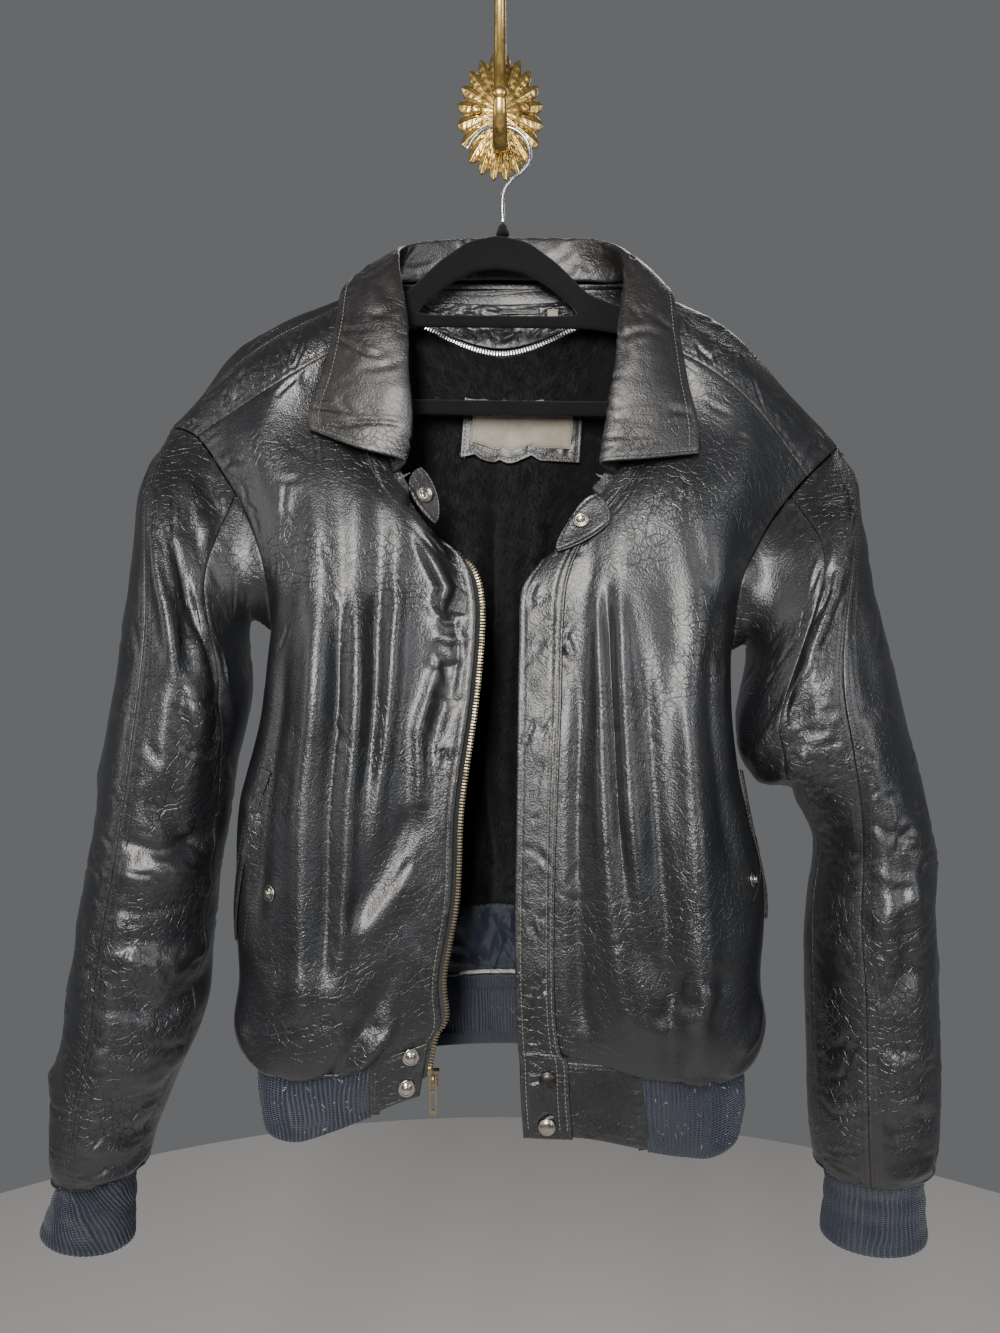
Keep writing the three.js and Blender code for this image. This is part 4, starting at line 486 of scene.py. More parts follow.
sleeve_l = folded(
    sheet([ARMHOLE_LEFT] + [sleeve_ring(r, -1) for r in RINGS_LEFT], top=lambda s: arm_l(10 * s),
          closed=True),
    SLEEVE_PANEL, -1, SLEEVE_FOLDS_L, (0.1, 22))
sleeve_r = folded(
    sheet([ARMHOLE_RIGHT] + [sleeve_ring(r, 1) for r in RINGS_RIGHT], top=lambda s: arm_r(10 * s),
          closed=True),
    SLEEVE_PANEL, 1, SLEEVE_FOLDS_R, (0.1, 22))


def cuff_sheet(rings):
    rows = []
    for x, y, z, wide, deep, twist, dip in rings:
        turn = math.radians(twist)
        row = []
        for i in range(10):
            a, b = wide * math.cos(math.radians(i * 36)), deep * math.sin(math.radians(i * 36))
            dx, dy = a * math.cos(turn) - b * math.sin(turn), a * math.sin(turn) + b * math.cos(turn)
            row.append((x + dx, y + dy, z + dip * dy))
        rows.append(row)
    return sheet(rows, closed=True)


cuff_l = cuff_sheet([(-309, -74, -850, 27.6, 34.6, 0, 0), (-315, -72, -878, 30, 38, 36, 0.03),
                     (-321, -70, -906, 30, 41, 62, 0.05)])
cuff_r = cuff_sheet([(289, -74, -847, 36.6, 35.6, 0, 0), (290, -74, -876, 38, 32, 0, 0),
                     (289, -74, -905, 40, 33, 0, 0.03)])
collar = sheet([NECK, COLLAR_STAND, COLLAR_ROLL, COLLAR_FALL, COLLAR_EDGE], top=lambda s: neck_seam(14 * s))


def part(surface, s, t):
    return lambda u, v: surface(s[0] + (s[1] - s[0]) * arr(u), t[0] + (t[1] - t[0]) * arr(v))


def edge_strip(surface, outward, start, end, lift, t):
    """A strip along a front's edge, from start mm behind the edge to end mm in front of it."""
    heights = np.linspace(0, 1, 200)
    widths = np.array([np.linalg.norm(np.diff(surface(np.linspace(0, 1, 40), np.full(40, h)), axis=0),
                                      axis=1).sum()
                       for h in heights])

    def read(u, v):
        u, v = np.broadcast_arrays(arr(u), arr(v))
        h = t[0] + (t[1] - t[0]) * v
        beyond = start + (end - start) * u
        inside = np.clip(1 + beyond / np.interp(h, heights, widths), 0, 1)
        ahead = unit(surface(0 * h + 1, h) - surface(0 * h + 0.97, h))
        normal = normals(surface, inside, h, outward)
        return surface(inside, h) + ahead * np.maximum(beyond, 0)[..., None] + normal * lift

    return read


def patch_shares(surface, outward, corners, lift):
    a, b, c, d = arr(corners)

    def read(u, v):
        u, v = np.broadcast_arrays(arr(u), arr(v))
        place = ((a * (1 - u[..., None]) + b * u[..., None]) * (1 - v[..., None])
                 + (d * (1 - u[..., None]) + c * u[..., None]) * v[..., None])
        s, t = place[..., 0], place[..., 1]
        return surface(s, t) + normals(surface, s, t, outward) * lift

    return read


def patch_free(corners, bow=1.2, trim=0.42):
    """A four-sided patch in space, a little bowed, with its corners rounded."""
    a, b, c, d = arr(corners)
    up = unit(np.cross(b - a, d - a))

    def read(u, v):
        u, v = np.broadcast_arrays(arr(u), arr(v))
        x, y = 2 * u - 1, 2 * v - 1
        u1 = 0.5 + 0.5 * (x * np.sqrt(1 - trim * y * y))[..., None]
        v1 = 0.5 + 0.5 * (y * np.sqrt(1 - trim * x * x))[..., None]
        flat = (a * (1 - u1) + b * u1) * (1 - v1) + (d * (1 - u1) + c * u1) * v1
        return flat + up * bow * (np.sin(math.pi * u1) * np.sin(math.pi * v1))

    return read


# Noise and creases
def noise(p, seed=0):
    """Smooth noise from -1 to 1 at points (n, 3)."""
    cell = np.floor(p).astype(np.int64)
    f = p - cell
    w = f * f * f * (f * (f * 6 - 15) + 10)
    total = np.zeros(p.shape[:-1])
    for dx in (0, 1):
        for dy in (0, 1):
            for dz in (0, 1):
                key = ((cell[..., 0] + dx) * 73856093) ^ ((cell[..., 1] + dy) * 19349663)
                key = (key ^ ((cell[..., 2] + dz) * 83492791) ^ (seed * 2654435761)) & 0xFFFFFFFF
                key = ((key ^ (key >> 13)) * 1274126177) & 0xFFFFFFFF
                value = ((key ^ (key >> 16)) & 0xFFFF) / 32767.5 - 1
                total += (value * (w[..., 0] if dx else 1 - w[..., 0]) * (w[..., 1] if dy else 1 - w[..., 1])
                          * (w[..., 2] if dz else 1 - w[..., 2]))
    return total


VIEW_WIDE, VIEW_HIGH = 1000, 1333
FOCUS = 1001.0
CAMERA = (0.0, -850.0, -467.2)


SEEN_MM = 0.745


def front_view(p):
    """Where points are seen from the front, across and down, in the view's own units."""
    depth = p[..., 1] - CAMERA[1]
    return (VIEW_WIDE / 2 + p[..., 0] * FOCUS / depth,
            VIEW_HIGH / 2 - (p[..., 2] - CAMERA[2]) * FOCUS / depth)


def crinkles(x, y, size, count, seed, length, depth, width, heading, spread=0.5, where=None):
    """Short soft creases scattered over a panel that measures size, in millimetres."""
    rng = np.random.default_rng(seed)
    rise = np.zeros(x.shape)
    for _ in range(count):
        cx, cy = rng.random() * size[0], rng.random() * size[1]
        long = length * rng.uniform(0.5, 1.6)
        angle = math.radians(heading) + rng.normal() * spread
        bend = rng.normal() * 0.14 * long
        high = depth * rng.uniform(0.3, 1.2)
        wide = width * rng.uniform(0.7, 1.5)
        if where is not None and rng.random() > where(cx / size[0], cy / size[1]):
            continue
        ca, sa = math.cos(angle), math.sin(angle)
        path = []
        for k in (-0.5, -0.17, 0.17, 0.5):
            off = bend * (1 - (2 * k) ** 2)
            path.append((cx + long * k * ca - off * sa, cy + long * k * sa + off * ca))
        near = (abs(x - cx) < long) & (abs(y - cy) < long)
        if not near.any():
            continue
        far, along = to_path(x[near], y[near], path)
        trough = np.exp(-((far / wide) ** 2))
        shoulder = np.exp(-(((far - 2 * wide) / wide) ** 2))
        rise[near] -= high * faded(along, 3) * (trough - 0.55 * shoulder)
    return rise


# Meshes
def link(name, data):
    obj = bpy.data.objects.new(name, data)
    bpy.context.scene.collection.objects.link(obj)
    return obj


def dressed(obj, look, node):
    """Gives a piece on the coat its material, and hides the node that it stands for."""
    obj.data.materials.append(look)
    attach(obj, "coat")
    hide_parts(node)


def new_object(name, verts, faces, uvs=None, smooth_shade=True):
    """verts in millimetres; faces an (n, 3 or 4) array; uvs one for each vertex."""
    verts = arr(verts).reshape(-1, 3) * MM
    faces = np.asarray(faces, dtype=np.int32)
    mesh = bpy.data.meshes.new(name)
    mesh.vertices.add(len(verts))
    mesh.vertices.foreach_set("co", verts.ravel())
    count, corners = faces.shape
    mesh.loops.add(count * corners)
    mesh.loops.foreach_set("vertex_index", faces.ravel())
    mesh.polygons.add(count)
    mesh.polygons.foreach_set("loop_start", np.arange(0, count * corners, corners, dtype=np.int32))
    mesh.polygons.foreach_set("use_smooth", np.full(count, smooth_shade))
    if uvs is not None:
        layer = mesh.uv_layers.new(name="cloth")
        layer.data.foreach_set("uv", (arr(uvs).reshape(-1, 2)[faces.ravel()] * MM).ravel())
    mesh.update(calc_edges=True)
    mesh.validate()
    return link(name, mesh)


def grid_faces(rows, cols, flip, wrap=False):
    i, j = np.meshgrid(np.arange(rows - 1), np.arange(cols if wrap else cols - 1), indexing="ij")
    a, b = i * cols + j, i * cols + (j + 1) % cols
    c, d = (i + 1) * cols + (j + 1) % cols, (i + 1) * cols + j
    quads = np.stack([a, b, c, d], axis=-1).reshape(-1, 4)
    return quads[:, ::-1] if flip else quads


class Soup:
    """Many small closed shapes gathered into one mesh."""

    def __init__(self):
        self.verts, self.faces, self.count = [], [], 0

    def add(self, verts, faces):
        self.verts.append(arr(verts).reshape(-1, 3))
        self.faces.append(np.asarray(faces, dtype=np.int32) + self.count)
        self.count += len(self.verts[-1])

    def make(self, name, smooth_shade=True):
        return new_object(name, np.vstack(self.verts), np.vstack(self.faces), smooth_shade=smooth_shade)


def attribute(obj, name, values):
    layer = obj.data.attributes.new(name, "FLOAT", "POINT")
    layer.data.foreach_set("value", arr(values).ravel().astype(np.float32))


def lengths(points, axis):
    return np.linalg.norm(np.diff(points, axis=axis), axis=-1).sum(axis=axis)


class Cloth:
    """One cut piece: a fine grid on its surface, with creases, seam dips, stitch grooves and turned edges."""

    def __init__(self, name, surface, outward, step=2.2, thick=LEATHER_THICK, gap=SEAM_GAP, folds=(), seen=(),
                 stitches=(), dips="lrtb", pucker=0.35, extra=None, wrap=False, turned="lrtb", back=7.0,
                 seed=1):
        self.name, self.outward, self.wrap = name, outward, wrap
        probe = surface(*np.meshgrid(np.linspace(0, 1, 17), np.linspace(0, 1, 17)))
        self.size = (float(lengths(probe, 1).mean()), float(lengths(probe, 0).mean()))
        self.longest = (float(lengths(probe, 1).max()), float(lengths(probe, 0).max()))
        cols, rows = max(4, round(self.longest[0] / step)), max(4, round(self.longest[1] / step))
        inset = gap / 2 + thick / 2
        eu, ev = min(inset / self.size[0], 0.2), min(inset / self.size[1], 0.2)
        u = np.arange(cols) / cols if wrap else np.linspace(eu, 1 - eu, cols + 1)
        v = np.linspace(ev, 1 - ev, rows + 1)
        self.u, self.v = np.meshgrid(u, v)
        base = surface(self.u, self.v)
        normal = self.normal_of(base)
        self.x, self.y = self.u * self.size[0], self.v * self.size[1]
        edge = {"l": self.x, "r": self.size[0] - self.x, "t": self.y, "b": self.size[1] - self.y}
        if wrap:
            edge["l"] = edge["r"] = np.full(self.x.shape, 1e3)
        away = np.minimum(np.minimum(edge["l"], edge["r"]), np.minimum(edge["t"], edge["b"]))
        rise = np.zeros(self.x.shape)
        for path, high, width in folds:
            far, along = to_path(self.x, self.y, [(a * self.size[0], b * self.size[1]) for a, b in path])
            rise += high * faded(along) * np.exp(-((far / width) ** 2))
        across, down = front_view(base)
        for path, high, width in seen:
            reach = 3.2 * width / SEEN_MM
            xs, ys = [q[0] for q in path], [q[1] for q in path]
            near = ((across > min(xs) - reach) & (across < max(xs) + reach)
                    & (down > min(ys) - reach) & (down < max(ys) + reach))
            far, along = to_path(across[near], down[near], path)
            rise[near] += high * faded(along) * np.exp(-((far * SEEN_MM / width) ** 2))
        if extra is not None:
            rise += extra(self, base)
        rise *= smooth(away / 9)
        for side in dips:
            near = edge[side]
            along = self.y if side in "lr" else self.x
            rise -= SEAM_DIP * np.exp(-((near / 1.5) ** 2))
            wave = 0.7 * np.sin(along * 2 * math.pi / PUCKER_LONG + 3.5 * noise(base / 23, seed))
            wave += noise(base / 6, seed + 1)
            rise += PUCKER_RISE * pucker * wave * np.exp(-(((near - 4) / 4.5) ** 2)) * smooth(away / 3)
        self.lines = []
        for side, offset in stitches:
            near = edge[side]
            rise -= STITCH_DIP * np.exp(-(((near - offset) / 0.9) ** 2))
            self.lines.append((side, offset))
        self.base, self.base_n = base, normal
        self.p = base + normal * rise[..., None]
        self.n = self.normal_of(self.p)
        bulge = np.zeros(rise.shape)
        bulge[1:-1, 1:-1] = (rise[1:-1, 1:-1] * 4 - rise[:-2, 1:-1] - rise[2:, 1:-1] - rise[1:-1, :-2]
                             - rise[1:-1, 2:])
        self.worn = np.clip(bulge * 2.2, 0, 1) * 0.7 + 0.8 * np.exp(-((away / 2.2) ** 2))
        self.thick, self.turned, self.back = thick, turned, back

    def normal_of(self, p):
        if self.wrap:
            du = np.roll(p, -1, axis=1) - np.roll(p, 1, axis=1)
        else:
            du = np.gradient(p, axis=1)
        return unit(np.cross(du, np.gradient(p, axis=0))) * self.outward

    def at(self, u, v, lift=0.0):
        """Point and normal at shares of the piece."""
        rows, cols = self.u.shape
        u, v = np.broadcast_arrays(arr(u), arr(v))
        x = np.interp(u, self.u[0], np.arange(cols))
        y = np.interp(v, self.v[:, 0], np.arange(rows))
        j, i = np.clip(np.floor(x).astype(int), 0, cols - 2), np.clip(np.floor(y).astype(int), 0, rows - 2)
        fx, fy = (x - j)[..., None], (y - i)[..., None]

        def read(a):
            return ((a[i, j] * (1 - fx) + a[i, j + 1] * fx) * (1 - fy)
                    + (a[i + 1, j] * (1 - fx) + a[i + 1, j + 1] * fx) * fy)

        n = unit(read(self.n))
        return read(self.p) + n * lift, n

    def place(self, across, down):
        """Shares of the piece at a place seen from the front."""
        a, d = front_view(self.p)
        gap = np.hypot(a - across, d - down) + 300 * (self.n[..., 1] > 0.3)
        i, j = np.unravel_index(np.argmin(gap), gap.shape)
        return float(self.u[i, j]), float(self.v[i, j])

    def side_line(self, side, offset, first=0.02, last=0.98, count=240):
        """Points along a line that runs offset mm inside an edge."""
        k = np.linspace(first, last, count)
        if side in "lr":
            share = offset / self.size[0]
            return self.at(np.full(count, share if side == "l" else 1 - share), k)
        share = offset / self.size[1]
        return self.at(k, np.full(count, share if side == "t" else 1 - share))

    def build(self, material, body="coat", replaces=(), slot="black_leather", rests=(), held="hung",
              with_pieces=()):
        p, n, r = self.p, self.base_n, self.thick / 2
        rows, cols = self.u.shape
        back = min(self.back, 0.2 * self.size[0], 0.2 * self.size[1])
        profile = [(0.29 * r, 0.71 * r), (r, r), (1.71 * r, 0.71 * r), (2 * r, 0), (2 * r, -back)]
        top = profile if "t" in self.turned else []
        bottom = profile if "b" in self.turned else []
        left = profile if "l" in self.turned and not self.wrap else []
        right = profile if "r" in self.turned and not self.wrap else []
        ri = np.concatenate([np.zeros(len(top), int), np.arange(rows), np.full(len(bottom), rows - 1)])
        ci = np.concatenate([np.zeros(len(left), int), np.arange(cols), np.full(len(right), cols - 1)])
        rd = arr([a for a, _ in top[::-1]] + [0] * rows + [a for a, _ in bottom])
        rr = arr([-b for _, b in top[::-1]] + [0] * rows + [b for _, b in bottom])
        cd = arr([a for a, _ in left[::-1]] + [0] * cols + [a for a, _ in right])
        cr = arr([-b for _, b in left[::-1]] + [0] * cols + [b for _, b in right])
        flat = self.base
        du = np.roll(flat, -1, axis=1) - np.roll(flat, 1, axis=1) if self.wrap else np.gradient(flat, axis=1)
        along_u, along_v = unit(du), unit(np.gradient(flat, axis=0))
        eu = unit(along_u - along_v * np.sum(along_u * along_v, axis=-1, keepdims=True))
        ev = unit(along_v - along_u * np.sum(along_u * along_v, axis=-1, keepdims=True))
        grid = np.ix_(ri, ci)
        down = np.maximum(rd[:, None], cd[None, :])[..., None]
        full = p[grid] - n[grid] * down + eu[grid] * cr[None, :, None] + ev[grid] * rr[:, None, None]
        uv = np.stack([self.x[grid] + cr[None, :], self.y[grid] + rr[:, None]], axis=-1)
        faces = grid_faces(len(ri), len(ci), self.outward < 0, self.wrap)
        obj = new_object(self.name, full, faces, uv)
        attribute(obj, "worn", self.worn[grid] * (down[..., 0] <= r))
        obj.data.materials.append(material)
        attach(obj, body)
        if replaces:
            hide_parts(*replaces)
        across, along = len(left) and 2 * (back + self.thick), len(top) and 2 * (back + self.thick)
        wide, high = self.longest[0] + across, self.longest[1] + along
        if self.wrap:
            wide = float(np.linalg.norm(np.roll(p, -1, axis=1) - p, axis=-1).sum(axis=1).max())
        wide, high = wide * MM, high * MM
        self.obj = obj
        return obj


# Sewing
threads = Soup()


def resample(points, normals_, pitch):
    seg = np.linalg.norm(np.diff(points, axis=0), axis=1)
    dist = np.concatenate([[0], np.cumsum(seg)])
    count = int(dist[-1] / pitch)
    if count < 2:
        return None
    at = (np.arange(count) + 0.5) * dist[-1] / count
    p = np.stack([np.interp(at, dist, points[:, k]) for k in range(3)], axis=1)
    n = unit(np.stack([np.interp(at, dist, normals_[:, k]) for k in range(3)], axis=1))
    ahead = np.stack([np.interp(at + 0.4, dist, points[:, k]) - np.interp(at - 0.4, dist, points[:, k])
                      for k in range(3)], axis=1)
    return p, n, unit(ahead)


STITCH_RINGS = [(-0.5, 0.25, -0.35), (-0.32, 0.9, 0.1), (0, 1.0, 0.22), (0.32, 0.9, 0.1), (0.5, 0.25, -0.35)]


def sew(line, pitch=3.3, length=2.7, radius=0.36, into=None):
    """A row of stitches along a line of points with their normals."""
    placed = resample(line[0], line[1], pitch)
    if placed is None:
        return
    p, n, d = placed
    side = unit(np.cross(d, n))
    rings = []
    for along, fat, high in STITCH_RINGS:
        for k in range(5):
            angle = 2 * math.pi * k / 5
            rings.append(p + d * along * length + side * math.cos(angle) * radius * fat
                         + n * (math.sin(angle) * radius * fat + high * radius * 1.6))
    verts = np.stack(rings, axis=1)
    faces = []
    for ring in range(4):
        for k in range(5):
            a, b = ring * 5 + k, ring * 5 + (k + 1) % 5
            faces.append((a, b, b + 5, a + 5))
    faces = np.asarray(faces)
    whole = (faces[None] + (np.arange(len(p)) * 25)[:, None, None]).reshape(-1, 4)
    (into or threads).add(verts, whole)


# Materials
class Look:
    def __init__(self, name, color=(0.02, 0.02, 0.02), roughness=0.5, metallic=0.0, **sockets):
        self.m = bpy.data.materials.new(name)
        self.m.use_nodes = True
        self.tree = self.m.node_tree
        self.bsdf = self.tree.nodes["Principled BSDF"]
        self.bsdf.inputs["Base Color"].default_value = (*color, 1)
        self.bsdf.inputs["Roughness"].default_value = roughness
        self.bsdf.inputs["Metallic"].default_value = metallic
        for key, value in sockets.items():
            self.bsdf.inputs[key.replace("_", " ")].default_value = value

    def node(self, kind, inputs=None, **props):
        n = self.tree.nodes.new(kind)
        for key, value in props.items():
            setattr(n, key, value)
        for key, value in (inputs or {}).items():
            if isinstance(value, bpy.types.NodeSocket):
                self.tree.links.new(value, n.inputs[key])
            else:
                n.inputs[key].default_value = value
        return n

    def coords(self):
        return self.node("ShaderNodeTexCoord").outputs["Object"]

    def noise(self, scale, detail=3.0, rough=0.55, vector=None, distortion=0.0):
        n = self.node("ShaderNodeTexNoise", {"Scale": scale, "Detail": detail, "Roughness": rough,
                                             "Distortion": distortion, "Vector": vector or self.coords()})
        return n.outputs["Fac"]

    def cells(self, scale, feature="F1", vector=None, randomness=1.0):
        n = self.node("ShaderNodeTexVoronoi", {"Scale": scale, "Randomness": randomness,
                                               "Vector": vector or self.coords()}, feature=feature)
        return n.outputs["Distance"]

    def math(self, op, a, b=0.0, clamp=False):
        return self.node("ShaderNodeMath", {0: a, 1: b}, operation=op, use_clamp=clamp).outputs[0]

    def ramp(self, value, low, high, to_low=0.0, to_high=1.0):
        return self.node("ShaderNodeMapRange", {"Value": value, "From Min": low, "From Max": high,
                                                "To Min": to_low, "To Max": to_high}).outputs["Result"]

    def mix(self, fac, a, b):
        n = self.node("ShaderNodeMix", data_type="RGBA")
        for key, value in ((0, fac), (6, a), (7, b)):
            if isinstance(value, bpy.types.NodeSocket):
                self.tree.links.new(value, n.inputs[key])
            elif key == 0:
                n.inputs[0].default_value = value
            else:
                n.inputs[key].default_value = (*value, 1)
        return n.outputs[2]

    def attribute(self, name):
        return self.node("ShaderNodeAttribute", attribute_name=name).outputs["Fac"]

    def into(self, socket, value):
        self.tree.links.new(value, self.bsdf.inputs[socket])

    def bump(self, height, distance, strength=1.0):
        old = self.bsdf.inputs["Normal"].links
        inputs = {"Height": height, "Distance": distance, "Strength": strength}
        if old:
            inputs["Normal"] = old[0].from_socket
        self.into("Normal", self.node("ShaderNodeBump", inputs).outputs["Normal"])


def leather_look(name, shade=(0.008, 0.0085, 0.01), wear=(0.06, 0.052, 0.046), rough=0.33, grain=0.8,
                 crackle=0.5):
    k = Look(name, shade, rough, Coat_Weight=0.2, Coat_Roughness=0.26, Specular_IOR_Level=0.66)
    patches = k.noise(9.0, 4.0, 0.6)
    fine = k.noise(320.0, 4.0, 0.6)
    worn = k.math("MULTIPLY", k.attribute("worn"), k.ramp(k.noise(60.0, 5.0, 0.7), 0.38, 0.68), True)
    scuffs = k.math("MULTIPLY", k.ramp(k.noise(42.0, 6.0, 0.75, distortion=1.4), 0.6, 0.74), 0.16, True)
    fac = k.math("ADD", k.math("MULTIPLY", worn, 0.5), scuffs, True)
    dusk = k.mix(k.ramp(patches, 0.35, 0.7), shade, tuple(c * 1.7 for c in shade))
    k.into("Base Color", k.mix(fac, dusk, wear))
    uneven = k.math("ADD", k.ramp(patches, 0.3, 0.75, rough - 0.06, rough + 0.07),
                    k.math("MULTIPLY", fac, 0.22))
    k.into("Roughness", k.math("ADD", uneven, k.ramp(fine, 0.3, 0.7, -0.04, 0.05), True))
    pebble = k.math("ADD", k.cells(720.0), k.math("MULTIPLY", k.cells(1500.0), 0.35))
    k.bump(pebble, 0.00032 * grain, 0.7)
    k.bump(fine, 0.0003 * grain, 0.5)
    warp = k.node("ShaderNodeTexNoise", {"Scale": 35.0, "Detail": 2.0, "Vector": k.coords()}).outputs["Color"]
    bent = k.node("ShaderNodeVectorMath", {0: k.coords(), 1: k.node(
        "ShaderNodeVectorMath", {0: warp, "Scale": 0.02}, operation="SCALE").outputs[0]},
        operation="ADD").outputs[0]
    lines = k.ramp(k.cells(150.0, "DISTANCE_TO_EDGE", bent), 0.0, 0.07)
    masked = k.math("MAXIMUM", lines, k.ramp(k.noise(16.0, 3.0), 0.42, 0.6, 1.0, 0.0))
    k.bump(masked, 0.0006 * crackle, 0.7)
    k.bump(k.noise(75.0, 3.0, 0.6, distortion=0.6), 0.0016, 0.35)
    return k.m


def cloth_look(name, color, other, roughness, scale, depth, sheen=0.3, blotch=12.0):
    k = Look(name, color, roughness, Sheen_Weight=sheen, Sheen_Roughness=0.5, Specular_IOR_Level=0.3)
    k.into("Base Color", k.mix(k.ramp(k.noise(blotch, 5.0, 0.65), 0.35, 0.7), color, other))
    k.bump(k.noise(scale, 3.0, 0.7), depth, 0.8)
    return k


def weave(k, pitch, depth, strength=0.8):
    """Over-and-under threads in the cloth's own directions."""
    uv = k.node("ShaderNodeUVMap", uv_map="cloth").outputs["UV"]
    parts_ = k.node("ShaderNodeSeparateXYZ", {0: uv})
    turn = 2 * math.pi / pitch
    a = k.math("SINE", k.math("MULTIPLY", parts_.outputs["X"], turn))
    b = k.math("SINE", k.math("MULTIPLY", parts_.outputs["Y"], turn))
    k.bump(k.math("MULTIPLY", a, b), depth, strength)


def knit_look(name, color, other, rib):
    """Rib knit: small V stitches that lean towards each rib's middle."""
    k = cloth_look(name, color, other, 0.93, 900.0, 0.0004, 0.25, 24.0)
    uv = k.node("ShaderNodeUVMap", uv_map="cloth").outputs["UV"]
    parts_ = k.node("ShaderNodeSeparateXYZ", {0: uv})
    lean = k.math("PINGPONG", k.math("DIVIDE", parts_.outputs["X"], rib), 0.5)
    rows = k.math("ADD", k.math("DIVIDE", parts_.outputs["Y"], 0.0015), k.math("MULTIPLY", lean, 2.2))
    k.bump(k.math("SINE", k.math("MULTIPLY", rows, 2 * math.pi)), 0.00035, 0.9)
    return k.m


def metal_look(name, color, dark, roughness, scale=120.0):
    k = Look(name, color, roughness, 1.0)
    fac = k.ramp(k.noise(scale, 5.0, 0.65), 0.42, 0.66)
    k.into("Base Color", k.mix(fac, color, dark))
    k.into("Roughness", k.ramp(fac, 0.0, 1.0, roughness, min(roughness + 0.22, 1.0)))
    k.bump(k.noise(scale * 6, 3.0), 0.00008, 0.5)
    return k.m


LEATHER = leather_look("worn_black_leather")
LEATHER_SLEEVE = leather_look("worn_black_leather_sleeve", crackle=1.0)
LEATHER_COLLAR = leather_look("worn_black_leather_collar", (0.0085, 0.0075, 0.0075), rough=0.42, crackle=0.5)
LEATHER_SOFT = leather_look("worn_black_leather_thin", rough=0.34, crackle=0.9, grain=0.8)
LEATHER_PATCH = leather_look("patch_leather", (0.011, 0.0105, 0.011), (0.05, 0.045, 0.04), 0.42, 0.6, 0.5)
knit_gray = ((0.0045, 0.009, 0.026), (0.009, 0.0155, 0.038))
KNIT = knit_look("navy_rib_knit", *knit_gray, 0.0041)
pile_ = cloth_look("black_pile", (0.002, 0.002, 0.0022), (0.004, 0.004, 0.0045), 1.0, 260.0, 0.002, 0.05)
PILE_LOOK = pile_.m
nylon_ = cloth_look("navy_nylon", (0.008, 0.011, 0.024), (0.014, 0.018, 0.034), 0.38, 45.0, 0.002, 0.15)
weave(nylon_, 0.0006, 0.00012, 0.4)
NYLON = nylon_.m
tape_ = cloth_look("black_tape", (0.01, 0.01, 0.011), (0.02, 0.019, 0.018), 0.85, 500.0, 0.0003, 0.3)
weave(tape_, 0.0011, 0.0003)
TAPE = tape_.m
cream_ = cloth_look("aged_cream_cloth", (0.5, 0.47, 0.4), (0.33, 0.28, 0.21), 0.85, 500.0, 0.0003, 0.2, 45.0)
weave(cream_, 0.0009, 0.0003)
CREAM = cream_.m
FLOCK = cloth_look("black_flock", (0.0028, 0.0028, 0.0032), (0.006, 0.006, 0.007), 1.0, 1400.0, 0.0006, 0.12,
                   30.0).m
THREAD = cloth_look("black_thread", (0.02, 0.02, 0.022), (0.04, 0.038, 0.036), 0.7, 1500.0, 0.0002, 0.1,
                    200.0).m
PALE_THREAD = cloth_look("worn_thread", (0.12, 0.11, 0.1), (0.22, 0.21, 0.19), 0.7, 1500.0, 0.0002, 0.2,
                         60.0).m
BRASS_ZIP = metal_look("aged_zip_brass", (0.42, 0.34, 0.22), (0.13, 0.1, 0.065), 0.34, 200.0)
SILVER = metal_look("silver_zip", (0.75, 0.75, 0.76), (0.4, 0.4, 0.41), 0.25, 200.0)
NICKEL = metal_look("worn_nickel", (0.5, 0.47, 0.42), (0.3, 0.28, 0.25), 0.2, 90.0)
DARK_NICKEL = metal_look("dark_nickel", (0.09, 0.085, 0.08), (0.03, 0.03, 0.03), 0.3, 160.0)
CHROME = metal_look("wire_chrome", (0.82, 0.83, 0.84), (0.5, 0.5, 0.5), 0.12, 90.0)
BRASS = metal_look("cast_brass", (0.72, 0.5, 0.17), (0.24, 0.15, 0.05), 0.28, 70.0)


# Leather panels
pale_threads = Soup()


def panel(name, surface, outward, **keys):
    look = keys.pop("look", LEATHER)
    rests = keys.pop("rests", ())
    into = keys.pop("thread", None)
    cloth = Cloth(name + "_cloth", surface, outward, **keys)
    cloth.build(look, replaces=(name,), rests=rests)
    for side, offset in cloth.lines:
        sew(cloth.side_line(side, offset), into=into)
    return cloth


def scatter(count, seed, length, depth, width, heading, spread=0.6, where=None):
    def read(cloth, _):
        return crinkles(cloth.x, cloth.y, cloth.size, count, seed, length, depth, width, heading, spread,
                        where)
    return read


def layered(*extras):
    return lambda cloth, base: sum(extra(cloth, base) for extra in extras)


def swell(scale, high, seed):
    """Slow unevenness of the leather over its quilting."""
    return lambda cloth, base: high * noise(base / scale, seed)


